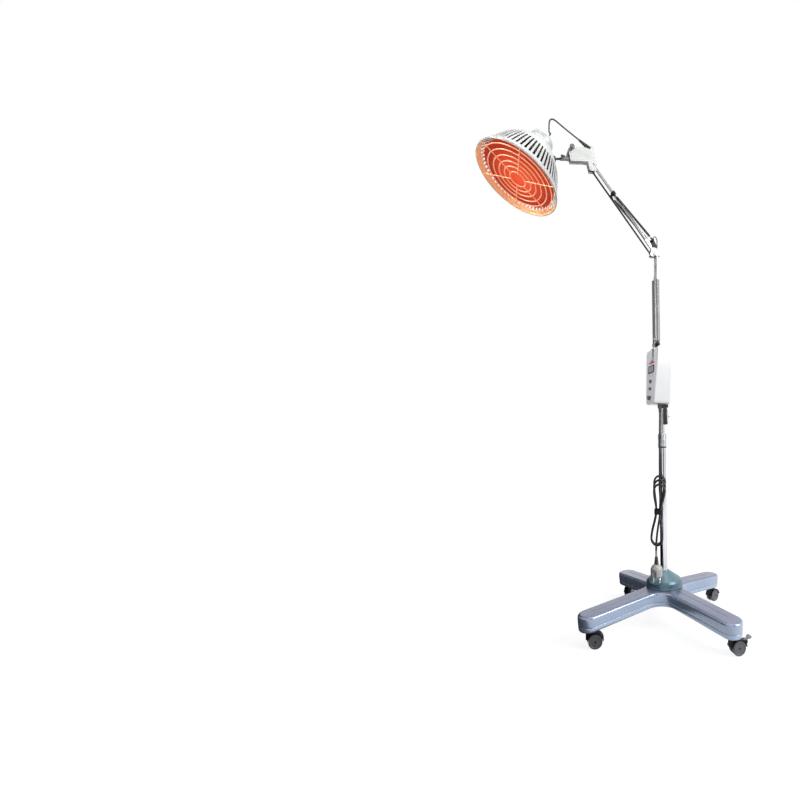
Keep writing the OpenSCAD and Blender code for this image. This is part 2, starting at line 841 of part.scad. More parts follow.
module lower_rod() {
    color("#9b9da0") post(rod_at, rod_r, sleeve_z - socket_depth, block_top - 4);
}

module spring_sleeve() {
    color("#8a8b90") difference() {
        stadium(sleeve_r, sleeve_half, sleeve_z, sleeve_z + sleeve_len);
        stadium(sleeve_r - sleeve_wall, sleeve_half, sleeve_z + sleeve_cap, sleeve_z + sleeve_len - sleeve_cap);
        post(tube_at, lower_d / 2 + seat_fit, sleeve_z - cut, sleeve_z + sleeve_len + cut);
        post(rod_at, rod_r + seat_fit, sleeve_z - cut, sleeve_z + sleeve_len + cut);
        post(cable_at, arm_cable_r + soft_gap, sleeve_z - cut, sleeve_z + sleeve_len + cut);
    }
}

// Route of the arm cable as [reach, y, z]
sleeve_top = sleeve_z + sleeve_len;
arm_route = [
    [cable_at[0], cable_at[1], sleeve_z - socket_depth], [cable_at[0], cable_at[1], sleeve_top - 60],
    [cable_at[0], cable_at[1], sleeve_top], [cable_at[0], cable_at[1], sleeve_top + 10],
    [lerp(cable_at[0], loop_at[0], 0.5), lerp(cable_at[1], loop_at[1], 0.5), lerp(sleeve_top, block_top, 0.5)],
    [loop_at[0], 0, block_top - 22], [loop_at[0], 0, block_top - block_h],
    [loop_at[0], 0, block_top], [loop_at[0] - 0.6, 0, elbow[1] + 14],
    [loop_at[0] - 0.8, 0, elbow[1] + 34], [loop_at[0] + 0.2, 0, elbow[1] + 41.5],
    [loop_at[0] + 3.2, 0, elbow[1] + 46.6], [loop_at[0] + 6.5, 0, elbow[1] + 48],
    [loop_at[0] + 9.8, 0, elbow[1] + 46.4], [cable_inlet[0] - 0.2, 0, elbow[1] + 40],
    [cable_inlet[0], 0, cable_inlet[1] + 12], [cable_inlet[0], 0, cable_inlet[1] + 6], [cable_inlet[0], 0, cable_inlet[1]]
];

module arm_cable() {
    color("#77777a") tube_along(smooth([for (p = arm_route) [-p[0], p[1], p[2]]], 2), arm_cable_r, 8);
}

module elbow_plates() {
    e = elbow;
    f = link_foot;
    y0 = cheek_in + cheek_t;
    y1 = y0 + 2;
    color("#dfe3dc") {
        difference() {
            translate([-lower_reach - 4.5, -13.5, block_top - block_h]) cube([16.5, 13.5 + y1, block_h]);
            post(tube_at, lower_d / 2 + seat_fit, block_top - block_h - cut, block_top - 4);
            post(rod_at, rod_r + seat_fit, block_top - block_h - cut, block_top - 4);
            post(loop_at, arm_cable_r + soft_gap, block_top - block_h - cut, block_top + cut);
        }
        for (s = [-1, 1]) difference() {
            plate([[e[0] - 11, block_top - 2], [e[0] + 2, block_top - 2], [f[0] - 5.5, f[1] - 6],
                [f[0] + 4.5, f[1] - 5], [f[0] + 6, f[1] + 2], [e[0] + 9.5, e[1] + 6],
                [e[0] + 3.5, e[1] + 9], [e[0] - 7.5, e[1] + 8], [e[0] - 11, e[1]]],
                min(s * y0, s * y1), max(s * y0, s * y1));
            pin(e, pin_r + seat_fit, -20, 20);
            pin(f, link_pin_r + seat_fit, -20, 20);
        }
        pin(e, pin_r, -y1 - 1, y1 + 1);
        for (s = [-1, 1]) pin(e, 4.6, s > 0 ? y1 : -y1 - 1.5, s > 0 ? y1 + 1.5 : -y1);
        pin(f, link_pin_r, -y1 - 1.5, y1 + 1.5);
    }
}

module elbow_cheeks() {
    e = elbow;
    toward = unit(clip_pt - anchor);
    end = spring_y + 3.6;
    color("#141414") {
        difference() {
            for (s = [-1, 1]) {
                y0 = s > 0 ? cheek_in : -cheek_in - cheek_t;
                plate([[e[0] - 12, block_top], [e[0] + 2, block_top], [e[0] + 8, e[1] - 2],
                    [e[0] + 9, e[1] + 14], [anchor[0] + 5, anchor[1] - 1],
                    [anchor[0] + 1, anchor[1] + 6], [anchor[0] - 7, anchor[1] + 3], [e[0] - 10, e[1] + 14]],
                    y0, y0 + cheek_t);
            }
            pin(e, pin_r + seat_fit, -20, 20);
            pin(anchor, anchor_r + seat_fit, -20, 20);
        }
        pin(anchor, anchor_r, -end, end);
        for (s = [-1, 1]) difference() {
            union() {
                pin(anchor, 4.2, s * spring_y - 2, s * spring_y + 2);
                bar(anchor, anchor + spring_lug * toward, 2.4, s * spring_y);
            }
            pin(anchor, anchor_r + seat_fit, s * spring_y - 5, s * spring_y + 5);
        }
    }
}

// ---------- upper arm ----------
module upper_tube() {
    color("#c9cbcd") difference() {
        union() {
            bar(elbow + (strap_len - 2) * upper_dir, wrist - 5 * upper_dir, upper_d / 2);
            along(elbow, upper_dir) translate([-strap_w / 2, -knuckle_half + 0.1, 0])
                cube([strap_w, 2 * knuckle_half - 0.2, strap_len]);
            pin(elbow, knuckle_r, -knuckle_half, knuckle_half);
            pin(wrist, knuckle_r, -bracket_in + soft_gap, bracket_in - soft_gap);
            post([cable_inlet[0], 0], 2.6, elbow[1] + 2, cable_inlet[1]);
        }
        pin(elbow, pin_r + slide_fit, -10, 10);
        pin(wrist, pin_r + slide_fit, -10, 10);
    }
}

module upper_rod() {
    color("#3a3a3c") difference() {
        union() {
            bar(link_foot + 3 * upper_dir, link_head - 3 * upper_dir, link_r);
            pin(link_foot, 4.6, -2.8, 2.8);
            pin(link_head, 4.6, -2.8, 2.8);
        }
        pin(link_foot, link_pin_r + slide_fit, -10, 10);
        pin(link_head, link_pin_r + soft_gap, -10, 10);
    }
}

module spring_clip() {
    toward = unit(anchor - clip_pt);
    end = spring_y + 3.6;
    color("#1b1b1b") difference() {
        union() {
            bar(clip_ring - 4 * upper_dir, clip_ring + 6 * upper_dir, upper_d / 2 + 2.5);
            pin(clip_pt, 3.4, -end, end);
            for (s = [-1, 1]) bar(clip_pt, clip_pt + spring_lug * toward, 2.4, s * spring_y);
        }
        bar(clip_ring - 20 * upper_dir, clip_ring + 20 * upper_dir, upper_d / 2 + seat_fit);
    }
}

// Points of one balance spring from the anchor's lug to the clip's lug
function coil(y) =
    let (d = unit(clip_pt - anchor),
         a = at(anchor + spring_lug * d, y),
         b = at(clip_pt - spring_lug * d, y),
         ax = unit(b - a),
         side = [0, 1, 0],
         up = cross(ax, side),
         r = (spring_d - spring_wire) / 2,
         span = norm(b - a),
         lead = spring_wire * 1.2,
         steps = spring_curls * 8)
    concat([a, a + lead * ax],
        [for (k = [0:steps]) let (t = k / steps, w = min(1, min(t, 1 - t) * spring_curls * 1.6))
            a + (2 * lead + (span - 4 * lead) * t) * ax
            + w * r * (cos(45 * k) * up + sin(45 * k) * side)],
        [b - lead * ax, b]);

module upper_springs() {
    color("#4a4b4e") for (y = [-spring_y, spring_y]) tube_along(coil(y), spring_wire / 2, 6);
}

// ---------- bracket ----------
module bracket_plates() {
    w = wrist;
    t = tilt_at;
    seat = [boot_from + 6.7 * boot_side, boot_from - 7.7 * boot_side,
        boot_from - 7.7 * boot_side - 4 * boot_dir, boot_from + 6.7 * boot_side - 4 * boot_dir];
    color("#d5d8d6") {
        for (s = [-1, 1]) difference() {
            y0 = s > 0 ? bracket_in : -bracket_out;
            plate([w + [-5, -19], w + [14, -24], w + [21, 1], w + [72, -14], w + [79, 17],
                w + [75.5, 25], w + [33, 41], seat[1], seat[0], seat[3], w + [-4.5, 7]],
                y0, y0 + bracket_t);
            pin(w, pin_r + seat_fit, -20, 20);
            pin(link_head, link_pin_r + seat_fit, -20, 20);
            pin(t, pin_r + seat_fit, -20, 20);
        }
        plate(seat, -bracket_in, bracket_in);
        pin(w, pin_r, -bracket_out - 2, bracket_out + 2);
        for (y = [[-11, -8], [8, 11]]) pin(w, 4.6, y[0], y[1]);
        pin(link_head, link_pin_r, -9.5, 9.5);
        pin(t, pin_r, -20, 11);
        pin(t, 5, bracket_out, 11);
    }
}

module tilt_knob() {
    color("#8f9396") translate(at(tilt_at, -bracket_out - soft_gap)) rotate([90, 0, 0])
        rotate_extrude() polygon([[pin_r + slide_fit, 0], [4.5, 0], [4.5, 7.4], [6.2, 7.8],
            [7, 9], [7, 13.4], [6, 15.2], [4, 16], [0, 16], [0, 12.4], [pin_r + slide_fit, 12.4]]);
}

module cable_boot() {
    color("#2c2d30") along(boot_from, boot_dir)
        translate([0, 0, seat_fit])
        cylinder(h = norm(boot_to - boot_from) - seat_fit, r1 = 6.6, r2 = cable_r + 1);
}

// ---------- head ----------
module in_head() {
    translate(at(head_at)) rotate([0, head_lean, 0]) children();
}

module tilt_block() {
    t = tilt_at;
    half = bracket_in - 0.4;
    color("#9fa2a4") difference() {
        union() {
            pin(t, 7.4, -half, half);
            plate([t + [-6, 1], t + [-1, -20], t + [4, -29.5], t + [16, -31.5], t + [13, -20], t + [7, 1]],
                -spigot_r + 0.6, spigot_r - 0.6);
            bar(spigot_from, spigot_from + spigot_len * spigot_dir, spigot_r);
        }
        pin(t, pin_r + slide_fit, -20, 20);
        bar(spigot_from + 3 * spigot_dir, spigot_from + (spigot_len + cut) * spigot_dir,
            stem_d / 2 + slide_fit);
        pin(thumb_at, 2 + slide_fit, -20, 0);
    }
}

module thumb_screw() {
    color("#6f7174") {
        pin(thumb_at, 2, -9, -stem_d / 2 - soft_gap);
        pin(thumb_at, 4.5, -12, -8);
        plate([thumb_at + [-6, -1.2], thumb_at + [6, -1.2], thumb_at + [6, 1.2],
            thumb_at + [-6, 1.2]], -16, -11);
    }
}

module head_stem() {
    color("#2a2b2d") difference() {
        union() {
            bar(spigot_from + 3.5 * spigot_dir, spigot_from + 56 * spigot_dir, stem_d / 2);
            bar(spigot_from + 40 * spigot_dir, spigot_from + 56 * spigot_dir, 8);
        }
        in_head() {
            rotate_extrude($fn = 96) shade_profile(-3 * seat_fit);
            translate([0, 0, shade_h]) cylinder(h = 60, r = neck_r + 1);
        }
    }
}

function shade_r(s) = rim_r - 1 - 0.42 * s - 0.0045 * pow(max(0, s - 55), 2);

module shade_profile(d) {
    s = [0, 55, 75, 95, 115];
    polygon(concat([for (v = s) [shade_r(v) - d, v]],
        [[shoulder_r + 3 - d, shade_h - 5], [shoulder_r - d, shade_h], [0, shade_h], [0, 0]]));
}

module neck_cap() {
    foot_s = shade_h;
    bend = [0, 15, 30, 45, 60, 75, 90];
    straight = foot_s + dome_from;
    outer = neck_r - crown_r;
    inner = outer - neck_wall + 0.4;
    color("#d9dbdb") in_head() difference() {
        rotate_extrude($fn = 96) polygon(concat([[neck_r, foot_s]],
            [for (a = bend) [crown_r + outer * cos(a), straight + dome_h * sin(a)]],
            [[0, neck_top], [0, neck_top - neck_wall]],
            [for (a = [90:-15:0]) [crown_r + inner * cos(a), straight + (dome_h - neck_wall) * sin(a)]],
            [[crown_r + inner, foot_s]]));
        translate([grommet_x, 0, neck_top - 6]) cylinder(h = 10, r = 3.2 + seat_fit);
    }
    color("#333333") in_head() translate([grommet_x, 0, 0]) {
        translate([0, 0, neck_top - 5]) cylinder(h = 6, r = 3.2);
        translate([0, 0, neck_top]) cylinder(h = grommet_h, r1 = 5, r2 = 3.8);
    }
}

module shade_shell() {
    inner_end = rim_r - bead_r + fuse;
    color("#d4d6d8") in_head() difference() {
        union() {
            difference() {
                rotate_extrude($fn = 96) shade_profile(0);
                rotate_extrude($fn = 96) translate([0, -shade_wall]) shade_profile(shade_wall * 0.6);
            }
            rotate_extrude($fn = 96) translate([rim_r - bead_r, 0]) circle(r = bead_r, $fn = 32);
        }
        translate([0, 0, slot_from]) linear_extrude(slot_len) for (k = [0:slot_count - 1])
            rotate((k + 0.5) * 360 / slot_count) polygon([[60, -60 * slot_lean], [130, -130 * slot_lean],
                [130, 130 * slot_lean], [60, 60 * slot_lean]]);
        translate([0, 0, shade_h - 20]) cylinder(h = 30, r = top_hole);
        for (k = [0:5]) rotate(spoke_turn + 60 * k) translate([90, 0, spoke_s])
            rotate([0, 90, 0]) cylinder(h = inner_end + 0.1 - 90, r = spoke_r + seat_fit, $fn = 24);
    }
}

module wire_guard() {
    w = guard_wire / 2;
    from = guard_rings[0] - 0.5;
    color("#d9b08c") in_head() {
        for (r = guard_rings) rotate_extrude($fn = 96) translate([r, guard_s]) circle(r = w, $fn = 24);
        for (k = [0:5]) rotate(spoke_turn + 60 * k) translate([from, 0, spoke_s])
            rotate([0, 90, 0]) cylinder(h = rim_r - bead_r + fuse - from, r = spoke_r, $fn = 24);
    }
}

module mineral_plate() {
    s = plate_s;
    r = plate_r;
    color("#e0431c") in_head() rotate_extrude($fn = 96)
        polygon([[0, s], [r - 4, s], [r, s + 2], [r, s + plate_t + plate_lip],
            [r - 2, s + plate_t + plate_lip], [r - 2, s + plate_t], [0, s + plate_t]]);
}

module heater_core() {
    color("#e8e0d0") in_head() {
        translate([0, 0, plate_s + plate_t + seat_fit]) cylinder(h = heater_t - 2 * seat_fit, r = heater_r);
        translate([0, 0, shade_h]) cylinder(h = 4, r = 24);
        translate([-12, -9, shade_h + 4 - fuse]) cube([24, 18, 12]);
    }
}

module reflector_dish() {
    s = plate_s + plate_t;
    z = s + heater_t;
    rim = plate_r - 2;
    color("#c9c9c9") in_head() {
        rotate_extrude($fn = 96) polygon([[0, z], [heater_r + 3.5, z], [rim - 2, s + seat_fit],
            [rim - 0.1, s + seat_fit], [rim - 0.1, s + dish_t + 0.4], [rim - 1.2, s + dish_t + 0.4],
            [heater_r + 4.2, z + dish_t], [0, z + dish_t]]);
        for (k = [0:2]) rotate(120 * k + 30) translate([post_ring, 0, z + dish_t - fuse])
            cylinder(h = shade_h - shade_wall - z - dish_t + fuse, r = 3);
    }
}

// ---------- cables ----------
head_route = concat(
    [boot_to, boot_to + 4.5 * boot_dir, boot_to + 9 * boot_dir],
    [for (p = [[61, 71], [74, 77], [86, 82.5], [98, 88.5], [108, 93.5], [115.5, 97],
        [122.5, 97.8], [128.2, 94.5], [131.2, 88], [132.2, 79], [132.4, 66], [132, 56]]) wrist + p],
    [for (d = [18, 12, 6, 0]) head_at + grommet_x * head_x + (neck_top + grommet_h + d) * head_z]
);

module head_cable() {
    color("#3b3b3e") tube_along(smooth([for (p = head_route) at(p)], 2), cable_r, 8);
}

// Route of the foot cable as [reach, z]
inlet_reach = face_reach(inlet_z) + 2.5;
foot_route = [
    [inlet_reach, inlet_z + 3], [inlet_reach, inlet_z + 7], [inlet_reach, inlet_z + 11],
    [inlet_reach, inlet_z + 20], [inlet_reach - 1, inlet_z + 29], [inlet_reach - 4, inlet_z + 38],
    [cuff_reach + 1.2, inlet_z + 44], [cuff_reach, clevis_z - 8], [cuff_reach, clevis_z - 4],
    [cuff_reach, clevis_z]
];

module foot_cable() {
    color("#6f6f73") tube_along(smooth([for (p = foot_route) [-p[0], inlet_y, p[1]]], 2), arm_cable_r, 8);
}

// ---------- mains cord ----------
fold_top = [for (k = [0:2]) hank_top - cord_r - fold_r - arch_drop * k];
fold_foot = hank_bottom + cord_r + fold_r;

// Axis of the hank at a height
function hank_axis(z) =
    lerp(hank_feet, hank_head, min(1, max(0, (z - hank_bottom) / hank_h)));

// Place in space of a hank point: across the fold, layer, height
function hank_place(u, layer, z) =
    let (c = hank_axis(z) + (hank_loops / 2 - layer) * hank_step * sight + u * fold_axis)
    [c[0], c[1], z];

// Half the space between a loop's two runs, drawn in at the waist
function run_half(z, top) =
    let (reach = z > hank_waist ? top - hank_waist : hank_waist - fold_foot)
    waist_half + (fold_r - waist_half) * (1 - cos(180 * min(1, abs(z - hank_waist) / reach))) / 2;

function ease(t) = t * t * (3 - 2 * t);

// One loop: foot fold in layer k, run up that climbs a layer, top fold, run down to the waist
function hank_loop(k) =
    let (top = fold_top[k])
    concat(
        [for (j = [0:6]) hank_place(fold_r * cos(30 * j), k, fold_foot - fold_r * sin(30 * j))],
        [for (j = [1:6]) let (z = lerp(fold_foot, top, j / 7), t = ease(j / 7))
            hank_place(-run_half(z, top), k + t, z)],
        [for (j = [0:6]) hank_place(-fold_r * cos(30 * j), k + 1, top + fold_r * sin(30 * j))],
        [for (j = [1:3]) let (z = lerp(top, hank_waist, j / 3))
            hank_place(run_half(z, top), k + 1, z)]
    );
function half_down(k) =
    [for (j = [1:2]) let (z = lerp(hank_waist, fold_foot, j / 3)) hank_place(run_half(z, fold_top[0]), k, z)];

entry_z = hank_top + 12;
tail_z = hank_bottom - 8;
tail_layer = hank_loops;
tail_end = hank_place(tail_u, tail_layer, hank_bottom);
hank_route = concat(
    [for (d = [0, -8]) let (p = hank_place(0, 0, hank_top)) [p[0], p[1], entry_z + d]],
    [hank_place(0, 0, hank_top - 16), hank_place(1.2, 0, hank_top - 36),
        hank_place(4, 0, hank_top - 56), hank_place(6.2, 0, hank_top - 76), hank_place(waist_half, 0, hank_waist)],
    [for (k = [0:hank_loops - 1]) for (p = concat(half_down(k), hank_loop(k))) p],
    [hank_place(5.2, tail_layer, hank_waist - 18), hank_place(2.6, tail_layer, hank_waist - 36),
        hank_place(0.4, tail_layer, hank_waist - 56), hank_place(tail_u, tail_layer, hank_waist - 76)],
    [tail_end, [tail_end[0], tail_end[1], tail_z]]
);

// Least distance between stretches of the hank that are not neighbours, less the cord
hank_gap = min([for (i = [0:len(hank_route) - 1]) for (j = [i + 6:1:len(hank_route) - 1])
    norm(hank_route[i] - hank_route[j])]) - cord_d;
echo(hank_gap = hank_gap);

module cord_hank() {
    color("#101012") tube_along(hank_route, cord_r, 6);
}

function length_of(p) = [for (i = [1:len(p) - 1]) norm(p[i] - p[i - 1])];
function total(v, i = 0) = i >= len(v) ? 0 : v[i] + total(v, i + 1);

hank_start = hank_route[0];
drop_route = [
    [-gland_at[0], gland_at[1], gland_z], [-gland_at[0], gland_at[1], gland_z - 7],
    [-gland_at[0], gland_at[1], gland_z - 14], lerp([-gland_at[0], gland_at[1], gland_z], hank_start, 0.3),
    lerp([-gland_at[0], gland_at[1], gland_z], hank_start, 0.55),
    lerp([-gland_at[0], gland_at[1], gland_z], hank_start, 0.8),
    hank_start + [0, 0, 16], hank_start + [0, 0, 8], hank_start
];
hank_end = hank_route[len(hank_route) - 1];
plug_at = [hank_end[0], hank_end[1], plug_z];
tail_route = [hank_end, lerp(hank_end, plug_at + [0, 0, 22], 0.5), plug_at + [0, 0, 22]];
echo(cord_mm = total(length_of(hank_route)) + total(length_of(drop_route)) + total(length_of(tail_route)));

module cord_runs() {
    color("#101012") tube_along(smooth(drop_route, 2), cord_r, 8);
    color("#a9aaa6") tube_along(tail_route, cord_r, 8);
}

module cord_tie() {
    side = 0.808 * waist_half + cord_r + soft_gap + 0.8;
    deep = hank_step * hank_loops / 2 + 0.588 * waist_half + cord_r + soft_gap + 0.5;
    middle = hank_place(0, hank_loops / 2, hank_waist);
    band = 1.6;
    color("#0c0c0c") translate([middle[0], middle[1], hank_waist]) rotate(atan2(sight[1], sight[0]))
        difference() {
            translate([-deep - band, -side - band, -6]) cube([2 * (deep + band), 2 * (side + band), 12]);
            translate([-deep, -side, -7]) cube([2 * deep, 2 * side, 14]);
        }
}

module plug() {
    turn = atan2(plug_at[1], plug_at[0]);
    translate(plug_at) rotate([180, 0, turn]) {
        color("#2a2a2c") translate([0, 0, -22]) cylinder(h = 22.5, r1 = cord_r + 0.7, r2 = 6.6);
        color("#bdbeb9") difference() {
            rotate_extrude() polygon([[0, 0], [9, 0], [13, 3.5], [16.6, 10], [17.1, 12.5],
                [17.1, 31], [16.2, 33], [0, 33]]);
            for (s = [-1, 1]) translate([s > 0 ? 14 : -19, -5.5, 17]) cube([5, 11, 17]);
        }
        color("silver") for (s = [-1, 1]) translate([0, s * 9.5, 32]) cylinder(h = 20, r = 2.4);
    }
}

base_frame();
base_cover();
base_skirt();
hub_cone();
column_tube();
column_bush();
lock_collar();
caster_hood(0);  // caster_hood_1
caster_hood(1);  // caster_hood_2
caster_hood(2);  // caster_hood_3
caster_hood(3);  // caster_hood_4
caster_wheels(0);  // caster_wheels_1
caster_wheels(1);  // caster_wheels_2
caster_wheels(2);  // caster_wheels_3
caster_wheels(3);  // caster_wheels_4
brake_pedal();
mast_tube();
clamp_block();
clamp_plate();
wing_screw();
box_shell();
front_panel();
display_lens();
button_up();
button_down();
fuse_knob();
control_board();
box_screws();
arm_post();
cord_gland();
foot_clevis();
pivot_knob();
lower_tube();
lower_rod();
spring_sleeve();
arm_cable();
elbow_plates();
elbow_cheeks();
upper_tube();
upper_rod();
spring_clip();
upper_springs();
bracket_plates();
tilt_knob();
cable_boot();
tilt_block();
thumb_screw();
head_stem();
neck_cap();
shade_shell();
wire_guard();
mineral_plate();
heater_core();
reflector_dish();
head_cable();
foot_cable();
cord_runs();
cord_hank();
cord_tie();
plug();
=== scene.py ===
import json
import math

import bmesh
import bpy
from mathutils import Matrix, Vector


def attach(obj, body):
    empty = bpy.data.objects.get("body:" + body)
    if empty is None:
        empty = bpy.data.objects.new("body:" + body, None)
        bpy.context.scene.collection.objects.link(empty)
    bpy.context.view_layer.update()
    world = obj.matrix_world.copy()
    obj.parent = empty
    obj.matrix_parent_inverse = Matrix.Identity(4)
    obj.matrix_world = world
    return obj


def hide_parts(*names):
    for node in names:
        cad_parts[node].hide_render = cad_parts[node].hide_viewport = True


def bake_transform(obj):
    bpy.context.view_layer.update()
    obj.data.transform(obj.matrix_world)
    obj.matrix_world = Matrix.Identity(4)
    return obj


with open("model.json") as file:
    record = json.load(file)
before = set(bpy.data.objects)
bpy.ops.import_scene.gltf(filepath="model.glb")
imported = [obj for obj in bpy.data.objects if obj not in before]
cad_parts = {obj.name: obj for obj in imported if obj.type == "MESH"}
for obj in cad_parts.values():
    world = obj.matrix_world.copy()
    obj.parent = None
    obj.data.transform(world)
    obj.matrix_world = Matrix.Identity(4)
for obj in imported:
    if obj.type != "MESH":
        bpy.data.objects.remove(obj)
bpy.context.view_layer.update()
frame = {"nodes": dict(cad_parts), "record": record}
nodes = frame["nodes"]
scene = bpy.context.scene
scene.view_settings.view_transform = "Standard"
MM = 0.001


def V(*p):
    return Vector(p) * MM


def deg(a):
    return math.radians(a)


def lerp(a, b, t):
    return a + (b - a) * t


# ------------------------------------------------------------------ camera
EYE = Vector((-0.5863, -1.0483, 0.4939))
SIGHT = Vector((0.4502, 0.8929))
PITCH, ROLL = deg(4.167), deg(-0.642)
PICTURE = 800
FOCAL = 394.16
CENTRE = (645, 422.37)
SENSOR = 36
heading = Vector((*SIGHT, 0.0)).normalized()
forward = heading * math.cos(PITCH) + Vector((0, 0, math.sin(PITCH)))
right0 = Vector((heading.y, -heading.x, 0))
up0 = right0.cross(forward)
right = right0 * math.cos(ROLL) + up0 * math.sin(ROLL)
up = up0 * math.cos(ROLL) - right0 * math.sin(ROLL)
cam_data = bpy.data.cameras.new("camera")
cam = bpy.data.objects.new("camera", cam_data)
scene.collection.objects.link(cam)
cam.matrix_world = Matrix((
    (right.x, up.x, -forward.x, EYE.x),
    (right.y, up.y, -forward.y, EYE.y),
    (right.z, up.z, -forward.z, EYE.z),
    (0, 0, 0, 1)))
cam_data.sensor_width = SENSOR
cam_data.lens = SENSOR * FOCAL / PICTURE
cam_data.shift_x = (PICTURE / 2 - CENTRE[0]) / PICTURE
cam_data.shift_y = (CENTRE[1] - PICTURE / 2) / PICTURE
cam_data.clip_start = 0.01
cam_data.clip_end = 60
scene.camera = cam


# ------------------------------------------------------------------ numbers shared with the CAD part
LEGS = [(193.3, 260.0), (278.9, 260.0), (373.8, 202.0), (458.4, 202.0)]
LEG_R, FILLET, BASE_TOP, FALL, FLAT_R = 29.0, 45.0, 97.0, 0.055, 60.0
BOX_Z, BOX_TOP = 634.0, 804.0
FACE_NEAR, FACE_FALL = 30, 11
RAKE = math.atan(FACE_FALL / (BOX_TOP - BOX_Z))
LENS_Z, STRIPE_Z, KEY_UP_Z, KEY_DOWN_Z, FUSE_Z, INLET_Z = 741.5, 762, 704, 682, 654, 772
FOLD = Vector((0.457, -0.889))
HANK_Z0, HANK_Z1, WAIST = 220.0, 424.0, 318.0
FOLD_R, WAIST_HALF, STEP = 18.972, 6.7, 8.3
CORD_R = 3.1
UPPER_ANGLE = deg(47.8)
UPPER_DIR = Vector((math.cos(UPPER_ANGLE), math.sin(UPPER_ANGLE)))
UPPER_NORMAL = Vector((math.sin(UPPER_ANGLE), -math.cos(UPPER_ANGLE)))
ELBOW = Vector((20.5, 1117.0))
WRIST = ELBOW + 292 * UPPER_DIR
ANCHOR = ELBOW + Vector((8, 30))
CLIP = ELBOW + 200 * UPPER_DIR + 7 * UPPER_NORMAL
HEAD = WRIST + Vector((215.7, -111.6))
LEAN = deg(25.6)
HEAD_X = Vector((-math.cos(LEAN), -math.sin(LEAN)))
HEAD_Z = Vector((-math.sin(LEAN), math.cos(LEAN)))
PLATE_S, PLATE_GLOW = 11.0, 0.1
BOOT = WRIST + Vector((45, 63.5))
BOOT_DIR = Vector((33, 16.5)).normalized()


def arm(p, y=0.0):
    """Arm-plane point [reach, height] in space."""
    return V(-p[0], y, p[1])


def face_reach(z):
    return FACE_NEAR + FACE_FALL * (BOX_TOP - z) / (BOX_TOP - BOX_Z)


def face(z, u, y, w):
    """Point on the panel: u up the face from height z, y across, w outward."""
    n = Vector((-math.cos(RAKE), 0, math.sin(RAKE)))
    t = Vector((math.sin(RAKE), 0, math.cos(RAKE)))
    return (Vector((-face_reach(z), y, z)) + u * t + w * n) * MM


# ------------------------------------------------------------------ mesh tools
def catmull(points, steps):
    out = []
    n = len(points) - 1
    for i in range(n):
        a, b, c, d = points[max(i - 1, 0)], points[i], points[i + 1], points[min(i + 2, n)]
        for k in range(steps):
            t = k / steps
            out.append(0.5 * ((2 * b) + (c - a) * t + (2 * a - 5 * b + 4 * c - d) * t * t
                              + (3 * b - a - 3 * c + d) * t ** 3))
    out.append(points[n])
    return out


def add_object(name, bm, smooth=True, recalc=True):
    if recalc:
        bmesh.ops.recalc_face_normals(bm, faces=bm.faces)
    mesh = bpy.data.meshes.new(name)
    bm.to_mesh(mesh)
    bm.free()
    for p in mesh.polygons:
        p.use_smooth = smooth
    obj = bpy.data.objects.new(name, mesh)
    scene.collection.objects.link(obj)
    return obj


def frames_along(points):
    """Tangent, side and upper directions carried along a route without twist."""
    n = len(points)
    tangents = []
    for i in range(n):
        a, b = points[max(i - 1, 0)], points[min(i + 1, n - 1)]
        tangents.append((b - a).normalized())
    side = tangents[0].orthogonal().normalized()
    out = []
    for t in tangents:
        side = (side - t * side.dot(t)).normalized()
        out.append((t, side, t.cross(side)))
    return out


def tube(bm, points, radius, sides=12, caps=(True, True), radii=None):
    rings = []
    for i, (p, (t, s, u)) in enumerate(zip(points, frames_along(points))):
        r = radius if radii is None else radii[i]
        rings.append([bm.verts.new(p + (s * math.cos(a) + u * math.sin(a)) * r)
                      for a in (2 * math.pi * k / sides for k in range(sides))])
    for a, b in zip(rings, rings[1:]):
        for k in range(sides):
            j = (k + 1) % sides
            bm.faces.new((a[k], a[j], b[j], b[k]))
    if caps[0]:
        bm.faces.new(list(reversed(rings[0])))
    if caps[1]:
        bm.faces.new(rings[-1])


def lathe(bm, profile, origin, axis, start, steps=48, wobble=None):
    """Turns (radius, height) pairs round an axis. A radius of 0 closes the end."""
    axis = axis.normalized()
    start = (start - axis * start.dot(axis)).normalized()
    other = axis.cross(start)
    rings = []
    for r, h in profile:
        if r < 1e-9:
            rings.append([bm.verts.new(origin + axis * h)])
            continue
        ring = []
        for k in range(steps):
            a = 2 * math.pi * k / steps
            rr = r * (1 if wobble is None else wobble(a, h))
            ring.append(bm.verts.new(origin + axis * h + (start * math.cos(a) + other * math.sin(a)) * rr))
        rings.append(ring)
    for a, b in zip(rings, rings[1:]):
        for k in range(steps):
            j = (k + 1) % steps
            if len(a) == 1 and len(b) == 1:
                continue
            if len(a) == 1:
                bm.faces.new((a[0], b[j], b[k]))
            elif len(b) == 1:
                bm.faces.new((a[k], a[j], b[0]))
            else:
                bm.faces.new((a[k], a[j], b[j], b[k]))


def prism(bm, outline, place, h0, h1, chamfer=0.15):
    """Slab of an outline with a chamfered top. place(a, b, h) gives the point in space."""
    cx = sum(p[0] for p in outline) / len(outline)
    cy = sum(p[1] for p in outline) / len(outline)
    span = max(math.hypot(p[0] - cx, p[1] - cy) for p in outline)
    k = 1 - chamfer / span
    inner = [(cx + (p[0] - cx) * k, cy + (p[1] - cy) * k) for p in outline]
    rings = [[bm.verts.new(place(a, b, h)) for a, b in ring]
             for ring, h in ((outline, h0), (outline, h1 - chamfer), (inner, h1))]
    n = len(outline)
    for a, b in zip(rings, rings[1:]):
        for i in range(n):
            j = (i + 1) % n
            bm.faces.new((a[i], a[j], b[j], b[i]))
    bm.faces.new(list(reversed(rings[0])))
    bm.faces.new(rings[-1])


